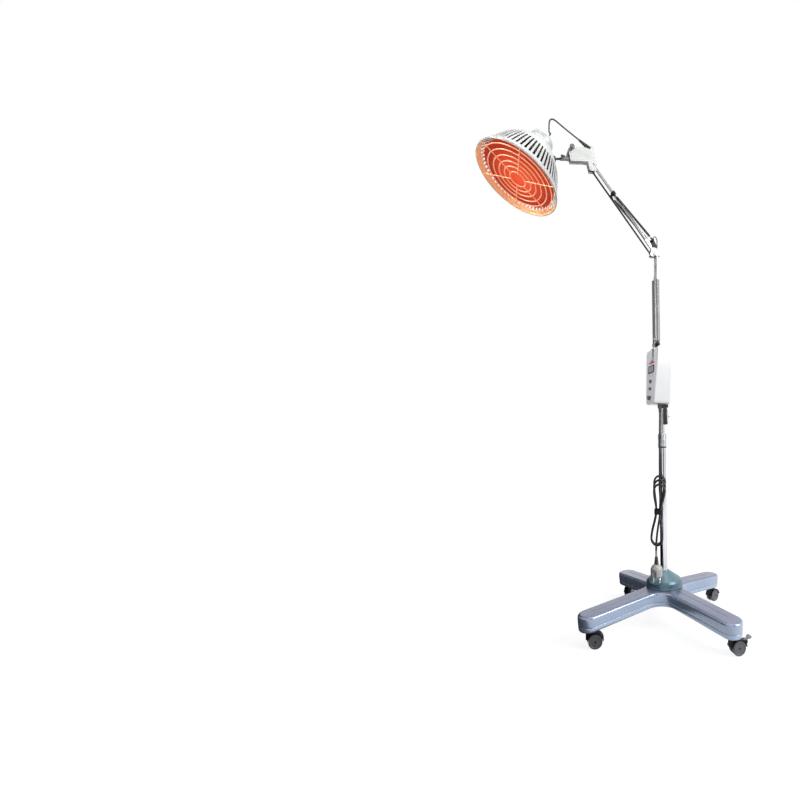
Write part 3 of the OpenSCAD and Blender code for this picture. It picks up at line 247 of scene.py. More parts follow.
def rounded(w, h, r, n=5, cx=0.0, cy=0.0):
    pts = []
    for k, (sx, sy) in enumerate(((1, 1), (-1, 1), (-1, -1), (1, -1))):
        for i in range(n + 1):
            a = math.pi / 2 * (k + i / n)
            pts.append((cx + sx * (w / 2 - r) + r * math.cos(a), cy + sy * (h / 2 - r) + r * math.sin(a)))
    return pts


def frame_ring(bm, outer, inner, place, h0, h1):
    """Flat frame between two outlines of equal point count."""
    n = len(outer)
    rows = [(outer, h0), (outer, h1), (inner, h1), (inner, h0)]
    rings = [[bm.verts.new(place(a, b, h)) for a, b in ring] for ring, h in rows]
    for a, b in zip(rings, rings[1:] + rings[:1]):
        for i in range(n):
            j = (i + 1) % n
            bm.faces.new((a[i], a[j], b[j], b[i]))


# ------------------------------------------------------------------ materials
def lin(hexcode, k=1.0):
    out = []
    for i in (0, 2, 4):
        c = int(hexcode.lstrip("#")[i:i + 2], 16) / 255
        out.append(min(1.0, k * (c / 12.92 if c <= 0.04045 else ((c + 0.055) / 1.055) ** 2.4)))
    return (*out, 1.0)


class Graph:
    def __init__(self, name):
        self.mat = bpy.data.materials.new(name)
        self.mat.use_nodes = True
        self.tree = self.mat.node_tree
        self.tree.nodes.clear()
        self.out = self.add("ShaderNodeOutputMaterial")
        self.coord = self.add("ShaderNodeTexCoord").outputs["Object"]

    def add(self, kind, **values):
        n = self.tree.nodes.new(kind)
        for k, v in values.items():
            setattr(n, k, v)
        return n

    def link(self, a, b):
        self.tree.links.new(a, b)

    def noise(self, scale, detail=3.0, rough=0.55, stretch=None, distortion=0.0):
        n = self.add("ShaderNodeTexNoise")
        n.inputs["Scale"].default_value = scale
        n.inputs["Detail"].default_value = detail
        n.inputs["Roughness"].default_value = rough
        n.inputs["Distortion"].default_value = distortion
        source = self.coord
        if stretch is not None:
            m = self.add("ShaderNodeMapping")
            m.inputs["Scale"].default_value = stretch
            self.link(self.coord, m.inputs["Vector"])
            source = m.outputs["Vector"]
        self.link(source, n.inputs["Vector"])
        return n.outputs["Fac"]

    def ramp(self, fac, stops):
        n = self.add("ShaderNodeValToRGB")
        e = n.color_ramp.elements
        while len(e) < len(stops):
            e.new(0.5)
        for item, (pos, colour) in zip(e, stops):
            item.position = pos
            item.color = colour if len(colour) == 4 else (*colour, 1)
        self.link(fac, n.inputs["Fac"])
        return n.outputs["Color"]

    def span(self, fac, a, b, lo=0.0, hi=1.0, smooth=False):
        n = self.add("ShaderNodeMapRange")
        n.interpolation_type = "SMOOTHSTEP" if smooth else "LINEAR"
        n.inputs["From Min"].default_value = a
        n.inputs["From Max"].default_value = b
        n.inputs["To Min"].default_value = lo
        n.inputs["To Max"].default_value = hi
        self.link(fac, n.inputs["Value"])
        return n.outputs["Result"]

    def mix(self, fac, a, b, blend="MIX"):
        n = self.add("ShaderNodeMix", data_type="RGBA", blend_type=blend)
        for socket, value in ((n.inputs[0], fac), (n.inputs[6], a), (n.inputs[7], b)):
            if isinstance(value, bpy.types.NodeSocket):
                self.link(value, socket)
            else:
                socket.default_value = value
        return n.outputs[2]

    def math(self, op, a, b=None):
        n = self.add("ShaderNodeMath", operation=op)
        for socket, value in ((n.inputs[0], a), (n.inputs[1], b)):
            if value is None:
                continue
            if isinstance(value, bpy.types.NodeSocket):
                self.link(value, socket)
            else:
                socket.default_value = value
        return n.outputs[0]

    def split(self, vector=None):
        n = self.add("ShaderNodeSeparateXYZ")
        self.link(vector or self.coord, n.inputs[0])
        return n.outputs

    def bump(self, height, strength, distance):
        n = self.add("ShaderNodeBump")
        n.inputs["Strength"].default_value = strength
        n.inputs["Distance"].default_value = distance
        self.link(height, n.inputs["Height"])
        return n.outputs["Normal"]


def finish_of(name, colour, rough, metal=0.0, shade=0.88, light=1.06, scale=28, spread=0.06, grain=0.12,
              grain_scale=900, grain_depth=0.0002, stretch=None, coat=0.0, coat_rough=0.1, dust=0.0,
              dust_colour="#c8c6c0", specular=0.5, base=None):
    """Surface with mottled colour, uneven gloss, fine relief and a little dust on what faces up."""
    g = Graph(name)
    s = g.add("ShaderNodeBsdfPrincipled")
    g.link(s.outputs[0], g.out.inputs["Surface"])
    tone = g.noise(scale, 4, 0.6)
    dark, bright = lin(colour, shade), lin(colour, light)
    col = g.ramp(tone, [(0.3, dark), (0.7, bright)]) if base is None else base(g, tone)
    if dust:
        z = g.split(g.add("ShaderNodeNewGeometry").outputs["Normal"])[2]
        speck = g.noise(160, 5, 0.7)
        amount = g.math("MULTIPLY", g.span(z, 0.35, 0.95, 0, dust, True), g.span(speck, 0.4, 0.68, 0.15, 1, True))
        col = g.mix(amount, col, lin(dust_colour))
    g.link(col, s.inputs["Base Color"])
    fine = g.noise(grain_scale, 3, 0.6, stretch=stretch)
    g.link(g.span(g.noise(scale * 2.3, 4, 0.65, stretch=stretch), 0.25, 0.75, max(0.02, rough - spread),
                  min(1, rough + spread)), s.inputs["Roughness"])
    g.link(g.bump(fine, grain, grain_depth), s.inputs["Normal"])
    s.inputs["Metallic"].default_value = metal
    s.inputs["Specular IOR Level"].default_value = specular
    s.inputs["Coat Weight"].default_value = coat
    s.inputs["Coat Roughness"].default_value = coat_rough
    g.shader = s
    return g


MAT = {}
MAT["frame_iron"] = finish_of("iron_painted", "#3c3d40", 0.55, 0.2, grain=0.3).mat


def enamel(low, high, top_shading_low, top_shading_high):
    """Enamel with painted shading by facing: what faces up takes a second pair of colours, standing for how light
    falls on the tops.
    """
    def base(g, tone):
        side = g.ramp(tone, [(0.28, lin(low)), (0.72, lin(high))])
        top = g.ramp(tone, [(0.28, lin(top_shading_low)), (0.72, lin(top_shading_high))])
        facing = g.split(g.add("ShaderNodeNewGeometry").outputs["Normal"])[2]
        return g.mix(g.span(facing, 0.45, 0.95, 0, 1, True), side, top)
    return base


# Cover and skirt: the tops are painted darker than the sides, as painted shade.
MAT["cover_enamel"] = finish_of("enamel_blue_grey", "#a9b9d3", 0.26, 0.35, scale=9, spread=0.05, grain=0.10,
                                base=enamel("#a3b4cf", "#b6c5dd", "#7a7f9a", "#9095ae"), grain_scale=1500,
                                grain_depth=0.00008, coat=0.3, coat_rough=0.12, dust=0.08,
                                dust_colour="#a3a3b3").mat
MAT["skirt_enamel"] = finish_of("enamel_blue_grey_lower", "#b0c2dc", 0.28, 0.35, scale=9, spread=0.05, grain=0.10,
                                base=enamel("#abbed9", "#bdcee6", "#7a7f9a", "#9095ae"), grain_scale=1500,
                                grain_depth=0.00008, coat=0.3, coat_rough=0.14).mat
# Hub: the tops are painted lighter than the sides, as painted light.
MAT["hub_enamel"] = finish_of("enamel_teal_grey", "#557480", 0.34, 0.3, scale=14, spread=0.06, grain=0.12,
                              base=enamel("#4d6b77", "#62828f", "#62828f", "#7897a2"), grain_scale=1300,
                              grain_depth=0.0001, coat=0.2, dust=0.10, dust_colour="#9aa8ad").mat
MAT["tube_chrome"] = finish_of("chrome", "#d2d4d8", 0.11, 1.0, shade=0.93, light=1.03, scale=16, spread=0.04,
                               grain=0.05, grain_scale=420, grain_depth=0.00005, stretch=(6, 6, 0.3)).mat
MAT["collar_satin"] = finish_of("collar_satin", "#c9cccf", 0.3, 0.85, scale=40, grain=0.1, grain_scale=700,
                                stretch=(1, 1, 8)).mat
MAT["black_nylon"] = finish_of("nylon_black", "#121214", 0.42, shade=0.75, light=1.3, scale=60, grain=0.25,
                               grain_scale=1200, dust=0.05, dust_colour="#55555a", specular=0.22).mat
MAT["wheel_grey"] = finish_of("wheel_rubber", "#6a6c70", 0.46, shade=0.8, light=1.15, scale=90, spread=0.1,
                              grain=0.3, grain_scale=1400, dust=0.1, dust_colour="#8f9096").mat
MAT["pedal_grey"] = finish_of("pedal_plastic", "#b4b7bb", 0.42, scale=70, grain=0.2).mat
MAT["plate_steel"] = finish_of("steel_zinc", "#97989a", 0.3, 0.8, scale=50, spread=0.1, grain=0.1,
                               grain_scale=500).mat
MAT["box_white"] = finish_of("box_white", "#f3f4f4", 0.2, shade=0.965, light=1.0, scale=12, spread=0.03, grain=0.05,
                             grain_scale=700, grain_depth=0.0001, coat=0.4, coat_rough=0.06).mat
MAT["panel_grey"] = finish_of("panel_grey", "#d2d2d6", 0.34, shade=0.95, light=1.03, scale=22, grain=0.15,
                              grain_scale=1500).mat
MAT["display_dark"] = finish_of("display_glass", "#2c3634", 0.12, shade=0.8, light=1.2, scale=50, spread=0.04,
                                grain=0.03).mat
MAT["key_grey"] = finish_of("key_rubber", "#74767c", 0.48, scale=120, grain=0.3).mat
MAT["board_green"] = finish_of("board_green", "#1d4a2c", 0.4, scale=120).mat
MAT["arm_grey"] = finish_of("arm_satin", "#7d7d80", 0.38, 0.45, shade=0.86, light=1.08, scale=34, spread=0.08,
                            grain=0.14, grain_scale=700, stretch=(4, 4, 0.5)).mat
MAT["cable_grey"] = finish_of("cable_sheath", "#8b8c90", 0.4, scale=200, grain=0.2).mat
MAT["elbow_cream"] = finish_of("elbow_enamel", "#f1f2ee", 0.32, shade=0.94, light=1.03, scale=50, grain=0.1,
                               coat=0.2).mat
MAT["upper_satin"] = finish_of("satin_tube", "#cdd0d3", 0.2, 0.95, shade=0.92, light=1.03, scale=30, spread=0.06,
                               grain=0.08, grain_scale=600, stretch=(3, 3, 1)).mat
MAT["rod_dark"] = finish_of("rod_blackened", "#36373a", 0.36, 0.45, shade=0.8, light=1.2, scale=60, grain=0.15).mat
MAT["spring_steel"] = finish_of("spring_steel", "#3c3d41", 0.34, 0.5, shade=0.8, light=1.15, scale=90,
                                grain=0.12).mat
MAT["boot_black"] = finish_of("boot_rubber", "#303236", 0.45, shade=0.8, light=1.25, scale=80, grain=0.25).mat
MAT["heater_clay"] = finish_of("heater_clay", "#ded5c4", 0.7, scale=90, grain=0.4).mat
MAT["dish_aluminium"] = finish_of("dish_aluminium", "#c6c2b8", 0.3, 0.85, scale=40, spread=0.1).mat
MAT["plug_grey"] = finish_of("plug_plastic", "#c3c4bf", 0.36, shade=0.92, light=1.04, scale=70, grain=0.18).mat


def shade_paint():
    """Light grey enamel outside. Inside, painted glow near the rim (peach colour and a small warm emission) and
    painted shade deeper in (dark brown).
    """
    def base(g, tone):
        outer = g.ramp(tone, [(0.3, lin("#c2c5c6")), (0.7, lin("#d6d9d8"))])
        inner = g.ramp(tone, [(0.3, lin("#e2b283")), (0.7, lin("#f3d3a8"))])
        n = g.add("ShaderNodeVectorMath", operation="SUBTRACT")
        g.link(g.coord, n.inputs[0])
        n.inputs[1].default_value = arm(HEAD)
        along = g.add("ShaderNodeVectorMath", operation="DOT_PRODUCT")
        axis = Vector((-HEAD_Z[0], 0, HEAD_Z[1]))
        g.link(n.outputs[0], along.inputs[0])
        along.inputs[1].default_value = axis
        scaled = g.add("ShaderNodeVectorMath", operation="SCALE")
        scaled.inputs[0].default_value = axis
        g.link(along.outputs["Value"], scaled.inputs["Scale"])
        radial = g.add("ShaderNodeVectorMath", operation="SUBTRACT")
        g.link(n.outputs[0], radial.inputs[0])
        g.link(scaled.outputs[0], radial.inputs[1])
        unit = g.add("ShaderNodeVectorMath", operation="NORMALIZE")
        g.link(radial.outputs[0], unit.inputs[0])
        facing = g.add("ShaderNodeVectorMath", operation="DOT_PRODUCT")
        g.link(unit.outputs[0], facing.inputs[0])
        normal = g.add("ShaderNodeVectorTransform", vector_type="NORMAL", convert_from="WORLD", convert_to="OBJECT")
        g.link(g.add("ShaderNodeNewGeometry").outputs["Normal"], normal.inputs[0])
        g.link(normal.outputs[0], facing.inputs[1])
        inside = g.span(facing.outputs["Value"], -0.3, 0.05, 1, 0, True)
        # Inside, peach up to about 12 mm from the rim as painted glow, fading by 26 mm into dark brown as painted
        # shade.
        painted_glow_near_rim = g.span(along.outputs["Value"], 0.012, 0.026, 1, 0, True)
        g.lit = g.math("MULTIPLY", inside, painted_glow_near_rim)
        return g.mix(inside, outer, g.mix(painted_glow_near_rim, lin("#6e5334"), inner))
    g = finish_of("shade_enamel", "#dddfde", 0.32, 0.15, scale=22, spread=0.06, grain=0.12, grain_scale=1100,
                  grain_depth=0.0001, dust=0.08, base=base)
    # Painted glow: the inside near the rim gives off a little warm light of its own.
    painted_glow_colour = g.mix(g.lit, (0, 0, 0, 1), lin("#f0a878"))
    g.link(painted_glow_colour, g.shader.inputs["Emission Color"])
    g.shader.inputs["Emission Strength"].default_value = 0.38
    return g.mat


MAT["shade_silver"] = shade_paint()


def wire_with_painted_glow():
    """Plated wire with the plate's red light painted on: a salmon colour and a small emission of its own."""
    g = finish_of("guard_wire", "#f2bd9b", 0.36, 0.15, shade=0.9, light=1.05, scale=60, grain=0.15)
    g.link(g.ramp(g.noise(45), [(0.3, lin("#e88a60")), (0.7, lin("#f5a57a"))]), g.shader.inputs["Emission Color"])
    g.shader.inputs["Emission Strength"].default_value = 0.42
    return g.mat


MAT["guard_wire"] = wire_with_painted_glow()


def glowing_plate():
    g = finish_of("plate_glow", "#8a3420", 0.6, scale=60, grain=0.4, grain_scale=500)
    d = g.add("ShaderNodeVectorMath", operation="DISTANCE")
    centre = arm(HEAD + PLATE_S * HEAD_Z)
    g.link(g.coord, d.inputs[0])
    d.inputs[1].default_value = centre
    uneven = g.math("MULTIPLY", g.noise(34, 4, 0.6), 0.022)
    far = g.math("ADD", d.outputs["Value"], uneven)
    glow = g.ramp(g.span(far, 0.0, PLATE_GLOW), [(0.0, (0.86, 0.12, 0.05, 1)), (0.35, (0.72, 0.075, 0.022, 1)),
                                           (0.75, (0.50, 0.040, 0.010, 1)), (0.93, (0.30, 0.018, 0.005, 1))])
    g.link(glow, g.shader.inputs["Emission Color"])
    g.shader.inputs["Emission Strength"].default_value = 0.9
    return g.mat


MAT["plate_glow"] = glowing_plate()


def cord_rubber():
    def base(g, tone):
        black = g.ramp(tone, [(0.3, lin("#151517")), (0.7, lin("#242528"))])
        grey = g.ramp(tone, [(0.3, lin("#9a9b98")), (0.7, lin("#b4b5b1"))])
        # Black, turning light grey below a height of 0.21 m, next to the plug.
        return g.mix(g.span(g.split()[2], 0.209, 0.2125, 1, 0), black, grey)
    return finish_of("cord_rubber", "#1a1a1c", 0.3, scale=90, spread=0.06, grain=0.15, grain_scale=1000,
                     base=base).mat


MAT["cord_black"] = cord_rubber()
slot_of_node = {row["node"]: row["material_slot"] for row in frame["record"]["subparts"]}
for name, obj in nodes.items():
    for i in range(len(obj.data.materials)):
        obj.data.materials[i] = MAT[slot_of_node[name]]


def dress(obj, slot, body=None, replaces=()):
    obj.data.materials.clear()
    obj.data.materials.append(MAT[slot] if slot in MAT else slot)
    if body:
        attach(obj, body)
    if replaces:
        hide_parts(*replaces)
    return obj


# ------------------------------------------------------------------ mains cord
def hank_axis(z):
    t = min(1, max(0, (z - HANK_Z0) / (HANK_Z1 - HANK_Z0)))
    return Vector((lerp(-38, -23, t), -25))


def hank_place(u, layer, z):
    c = hank_axis(z) + SIGHT * ((1.5 - layer) * STEP) + FOLD * u
    return Vector((c.x, c.y, z))


FOLD_TOP = [HANK_Z1 - CORD_R - FOLD_R - 12 * k for k in range(3)]
FOLD_FOOT = HANK_Z0 + CORD_R + FOLD_R


def run_half(z, top):
    reach = top - WAIST if z > WAIST else WAIST - FOLD_FOOT
    return WAIST_HALF + (FOLD_R - WAIST_HALF) * (1 - math.cos(math.pi * min(1, abs(z - WAIST) / reach))) / 2


def ease(t):
    return t * t * (3 - 2 * t)


def hank_route():
    p0 = hank_place(0, 0, HANK_Z1)
    pts = [Vector((p0.x, p0.y, 436)), Vector((p0.x, p0.y, 428)), hank_place(0, 0, 408), hank_place(1.2, 0, 388),
           hank_place(4, 0, 368), hank_place(6.2, 0, 348), hank_place(WAIST_HALF, 0, WAIST)]
    for k in range(3):
        top = FOLD_TOP[k]
        for j in (1, 2):
            z = lerp(WAIST, FOLD_FOOT, j / 3)
            pts.append(hank_place(run_half(z, FOLD_TOP[0]), k, z))
        for j in range(7):
            a = deg(30 * j)
            pts.append(hank_place(FOLD_R * math.cos(a), k, FOLD_FOOT - FOLD_R * math.sin(a)))
        for j in range(1, 7):
            z = lerp(FOLD_FOOT, top, j / 7)
            pts.append(hank_place(-run_half(z, top), k + ease(j / 7), z))
        for j in range(7):
            a = deg(30 * j)
            pts.append(hank_place(-FOLD_R * math.cos(a), k + 1, top + FOLD_R * math.sin(a)))
        for j in (1, 2, 3):
            z = lerp(top, WAIST, j / 3)
            pts.append(hank_place(run_half(z, top), k + 1, z))
    pts += [hank_place(5.2, 3, WAIST - 18), hank_place(2.6, 3, WAIST - 36), hank_place(0.4, 3, WAIST - 56),
            hank_place(-1, 3, WAIST - 76)]
    end = hank_place(-1, 3, HANK_Z0)
    return pts + [end, Vector((end.x, end.y, 212))]


hank = hank_route()
exit_mm = Vector((-14, -13.5, 612))
drop = [exit_mm, exit_mm - Vector((0, 0, 7)), exit_mm - Vector((0, 0, 14)), exit_mm.lerp(hank[0], 0.3),
        exit_mm.lerp(hank[0], 0.55), exit_mm.lerp(hank[0], 0.8), hank[0] + Vector((0, 0, 16)),
        hank[0] + Vector((0, 0, 8))]
plug_top = Vector((hank[-1].x, hank[-1].y, 194))
route = [p * MM for p in catmull(drop + hank + [hank[-1].lerp(plug_top, 0.5), plug_top], 3)]
curve = bpy.data.curves.new("mains_cord", "CURVE")
curve.dimensions = "3D"
curve.bevel_depth = CORD_R * MM
curve.bevel_resolution = 5
curve.use_fill_caps = True
line = curve.splines.new("POLY")
line.points.add(len(route) - 1)
for point, p in zip(line.points, route):
    point.co = (*p, 1)
line.use_smooth = True
mains_cord = bpy.data.objects.new("mains_cord", curve)
scene.collection.objects.link(mains_cord)
dress(mains_cord, "cord_black", "turret", ("cord_runs", "cord_hank"))

# Strap round the waist of the hank
STRAP_GAP = 0.3
mid = hank_place(0, 1.5, WAIST)
deep_dir = heading
across = Vector((-deep_dir.y, deep_dir.x, 0))
side_in = 0.808 * WAIST_HALF + CORD_R + STRAP_GAP + 0.8
deep_in = STEP * 1.5 + 0.588 * WAIST_HALF + CORD_R + STRAP_GAP + 0.5
bm = bmesh.new()


def strap_ring(half_d, half_s, r, z):
    return [bm.verts.new((mid + deep_dir * a + across * b + Vector((0, 0, z - WAIST))) * MM)
            for a, b in rounded(2 * half_d, 2 * half_s, r, 8)]


rows = []
for out, z in ((0.0, -5.4), (0.5, -6.0), (1.1, -6.0), (1.6, -5.3), (1.42, -2.0), (1.42, 2.0), (1.6, 5.3),
               (1.1, 6.0), (0.5, 6.0), (0.0, 5.4), (0.12, 2.0), (0.12, -2.0)):
    rows.append(strap_ring(deep_in + out, side_in + out, 3.2 + out, WAIST + z))
for a, b in zip(rows, rows[1:] + rows[:1]):
    for i in range(len(a)):
        j = (i + 1) % len(a)
        bm.faces.new((a[i], a[j], b[j], b[i]))
tie = dress(add_object("cord_strap", bm), "black_nylon", "turret", ("cord_tie",))

# Plug: moulded body with recesses at its sides, ribbed strain relief and two pins
PLUG_TOP, RECESS_FROM, RECESS_TO, RECESS_DEPTH = 172, 0.0165, 0.0322, 0.175
PIN_Y = 9.5
plug_at = Vector((hank[-1].x, hank[-1].y, PLUG_TOP))
down = Vector((0, 0, -1))
turn = Vector((plug_at.x, plug_at.y, 0)).normalized()
tangent = Vector((-turn.y, turn.x, 0))
bm = bmesh.new()


def plug_wobble(a, h):
    """Finger recesses on the two sides that lie along the radius."""
    if h < RECESS_FROM or h > RECESS_TO:
        return 1.0
    c = abs(math.cos(a))
    edge = min(1, (h - RECESS_FROM) / 0.002)
    return 1 - RECESS_DEPTH * edge * max(0.0, min(1.0, (c - 0.945) / 0.03))


body_profile = [(0, 0), (7.4, 0), (8.6, 0.4), (9.4, 1.2), (12.8, 3.7), (14.4, 6.2), (16.2, 9.6), (16.9, 11.2),
                (17.08, 13), (17.08, 16.4), (17.08, 18.6), (17.08, 22), (17.08, 26), (17.08, 30), (16.9, 31.4),
                (16.3, 32.5), (15.4, 33), (11, 33), (0, 33)]
lathe(bm, [(r * MM, h * MM) for r, h in body_profile], plug_at * MM, down, turn, 72, plug_wobble)
plug_body = dress(add_object("plug_body", bm), "plug_grey", "turret", ("plug",))
bm = bmesh.new()
relief = [(0, -22), (3.7, -22), (3.85, -21.5)]
for k in range(6):
    z0 = -20.6 + k * 3.3
    r = lerp(4.0, 6.4, (k + 0.5) / 6)
    relief += [(r + 0.35, z0), (r + 0.42, z0 + 0.5), (r + 0.42, z0 + 1.5), (r + 0.3, z0 + 1.9),
               (r - 0.45, z0 + 2.2), (r - 0.45, z0 + 2.9)]
relief += [(6.5, -0.7), (6.6, 0.3), (0, 0.3)]
lathe(bm, [(r * MM, h * MM) for r, h in relief], plug_at * MM, down, turn, 32)
plug_neck = dress(add_object("plug_neck", bm), "boot_black", "turret")
bm = bmesh.new()
for s in (-1, 1):
    centre = plug_at + tangent * (PIN_Y * s)
    lathe(bm, [(0, 0.0325), (0.0024, 0.0325), (0.0024, 0.0495), (0.0021, 0.0512), (0.0012, 0.052), (0, 0.052)],
          centre * MM, down, turn, 24)
plug_pins = dress(add_object("plug_pins", bm), "upper_satin", "turret")
# Black faces set in the two side recesses: painted shade in the recesses.
bm = bmesh.new()
for s in (-1, 1):
    def recess(a, b, h, s=s):
        return (plug_at + turn * (s * (13.6 + h)) + tangent * a + down * b) * MM
    prism(bm, rounded(9.4, 13.2, 1.5, 4, 0, 25), recess, -0.4, 0.35, 0.2)
plug_recess_shade = dress(add_object("plug_recess_painted_shade", bm, smooth=False), "boot_black", "turret")


# ------------------------------------------------------------------ base mouldings
def base_outline(d):
    """Plan of the base drawn in by d, as points at steady places round it."""
    w, f = LEG_R - d, FILLET + d
    pts = []
    runs = []
    for i in range(4):
        a, b = LEGS[i][0], LEGS[(i + 1) % 4][0] + (360 if i == 3 else 0)
        half = deg(b - a) / 2
        runs.append(((w + f) / math.tan(half), (w + f) / math.sin(half), a, math.degrees(half)))
    for i in range(4):
        a, length = LEGS[i]
        u = Vector((math.cos(deg(a)), math.sin(deg(a))))
        n = Vector((-u.y, u.x))
        first, last = runs[i - 1][0], runs[i][0]
        for k in range(10):
            pts.append(u * lerp(first, length, k / 10) - n * w)
        for k in range(25):
            t = -math.pi / 2 + math.pi * k / 24
            pts.append(u * (length + w * math.cos(t)) + n * (w * math.sin(t)))
        for k in range(1, 11):
            pts.append(u * lerp(length, last, k / 10) + n * w)
        run, far, head, half = runs[i]
        c = Vector((math.cos(deg(head + half)), math.sin(deg(head + half)))) * far
        t0, t1 = head + 270, head + 2 * half + 90
        for k in range(1, 20):
            t = deg(lerp(t0, t1, k / 20))
            pts.append(c + Vector((math.cos(t), math.sin(t))) * f)
    return pts


def fall(z, p):
    return z - FALL * max(0, p.length - FLAT_R)


def moulding(name, profile, slot, node):
    """Closed shell: each row is (drawn in, height over the top face)."""
    bm = bmesh.new()
    rings = []
    for d, h in profile:
        rings.append([bm.verts.new(Vector((p.x, p.y, fall(BASE_TOP + h, p))) * MM) for p in base_outline(d)])
    n = len(rings[0])
    for a, b in zip(rings, rings[1:]):
        for i in range(n):
            j = (i + 1) % n
            bm.faces.new((a[i], a[j], b[j], b[i]))
    for ring, h in ((rings[0], profile[0][1]), (rings[-1], profile[-1][1])):
        centre = bm.verts.new((0, 0, (BASE_TOP + h) * MM))
        for i in range(n):
            bm.faces.new((ring[i], ring[(i + 1) % n], centre))
    obj = add_object(name, bm)
    return dress(obj, slot, "base", (node,))


moulding("base_cover_moulding", [
    (28.4, 0), (26, 0), (22, 0), (17, 0), (12, 0), (8.5, 0), (6.6, -0.02), (5.4, -0.14), (4.1, -0.5), (2.9, -1.1),
    (1.9, -1.95), (1.1, -3.0), (0.5, -4.3), (0.15, -5.8), (0.05, -7.6), (0.1, -10), (0.5, -16), (0.95, -21),
    (1.35, -25.2), (1.55, -26.1), (2.1, -26.6), (3.0, -26.6), (3.4, -25), (3.4, -6), (6, -3.2), (12, -3), (20, -3),
    (28.4, -3)], "cover_enamel", "base_cover")
moulding("base_skirt_moulding", [
    (28.4, -37.5), (20, -37.5), (8, -37.4), (4.6, -36), (4.0, -33), (3.7, -27.2), (3.2, -26.8), (2.6, -26.8),
    (2.1, -27.1), (1.9, -27.8), (2.0, -31), (2.3, -34.2), (2.9, -36.6), (3.9, -38.4), (5.4, -39.5), (7.4, -39.97),
    (10, -40), (16, -40), (22, -40), (28.4, -40)], "skirt_enamel", "base_skirt")


# ------------------------------------------------------------------ springs and cables
SPRING_DIR = (CLIP - ANCHOR).normalized()
SPRING_Y, WIRE_R, COIL_R, CURLS, END_GAP = 9.2, 0.9, 3.1, 60, 9


def spring_points(y, steps=16):
    a, b = arm(ANCHOR + END_GAP * SPRING_DIR, y), arm(CLIP - END_GAP * SPRING_DIR, y)
    ax = (b - a).normalized()
    side = Vector((0, 1, 0))
    upward = ax.cross(side)
    r, span = COIL_R * MM, (b - a).length
    lead = 2.16 * MM
    pts = [a - ax * 1.2 * MM, a + ax * lead * 0.5, a + ax * lead]
    total = CURLS * steps
    for k in range(1, total):
        t = k / total
        w = min(1, min(t, 1 - t) * CURLS * 1.6)
        ang = 2 * math.pi * k / steps
        pts.append(a + ax * (2 * lead + (span - 4 * lead) * t)
                   + (upward * math.cos(ang) + side * math.sin(ang)) * (w * r))
    return pts + [b - ax * lead, b - ax * lead * 0.5, b + ax * 1.2 * MM]


bm = bmesh.new()
for y in (-SPRING_Y, SPRING_Y):
    tube(bm, spring_points(y), WIRE_R * MM, 8)
springs = dress(add_object("balance_springs", bm), "spring_steel")
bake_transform(springs)
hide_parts("upper_springs")

SHEATH_R, HEAD_CABLE_R = 1.7, 2
r_in = face_reach(INLET_Z) + 2.5
foot_route = [(r_in, 775), (r_in, 779), (r_in, 783), (r_in, 792), (r_in - 1, 801), (r_in - 4, 810), (27.8, 816),
              (26.6, 821), (26.6, 825), (26.6, 829)]
bm = bmesh.new()
tube(bm, catmull([arm(p, -10) for p in foot_route], 4), SHEATH_R * MM, 14)
foot_cable = dress(add_object("foot_cable_sheath", bm), "cable_grey")
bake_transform(foot_cable)
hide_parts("foot_cable")

arm_route = [(17, 6.5, 1008), (17, 6.5, 1015), (17, 6.5, 1022), (17, 6.5, 1032), (13, 3.25, 1065), (9, 0, 1087),
             (9, 0, 1098), (9, 0, 1109), (8.4, 0, 1131), (8.2, 0, 1151), (9.2, 0, 1158.5), (12.2, 0, 1163.6),
             (15.5, 0, 1165), (18.8, 0, 1163.4), (21.8, 0, 1157), (22, 0, 1142), (22, 0, 1136), (22, 0, 1130)]
bm = bmesh.new()
tube(bm, catmull([V(-a, y, z) for a, y, z in arm_route], 4), SHEATH_R * MM, 14)
arm_cable = dress(add_object("arm_cable_sheath", bm), "cable_grey")
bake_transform(arm_cable)
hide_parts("arm_cable")

head_route = [BOOT - 3 * BOOT_DIR, BOOT, BOOT + 4.5 * BOOT_DIR, BOOT + 9 * BOOT_DIR]
head_route += [WRIST + Vector(p) for p in ((61, 71), (74, 77), (86, 82.5), (98, 88.5), (108, 93.5), (115.5, 97),
                                           (122.5, 97.8), (128.2, 94.5), (131.2, 88), (132.2, 79), (132.4, 66),
                                           (132, 56))]
head_route += [HEAD + 8 * HEAD_X + (168 + d) * HEAD_Z for d in (18, 12, 6, 0)]
smooth_head = catmull([arm(p) for p in head_route], 4)
cut = min(range(len(smooth_head)), key=lambda i: (smooth_head[i] - arm(WRIST + Vector((108, 93.5)))).length)
bm = bmesh.new()
tube(bm, smooth_head[:cut + 1], HEAD_CABLE_R * MM, 16, (True, False))
cable_a = dress(add_object("head_cable_rise", bm), "boot_black")
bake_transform(cable_a)
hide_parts("head_cable")
bm = bmesh.new()
tube(bm, smooth_head[cut:], HEAD_CABLE_R * MM, 16, (False, True))
cable_b = dress(add_object("head_cable_fall", bm), "boot_black")
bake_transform(cable_b)
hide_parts("head_cable")


# ------------------------------------------------------------------ control panel details
def on_panel(z, y0=0.0):
    return lambda a, b, h: face(z, b, y0 + a, h)


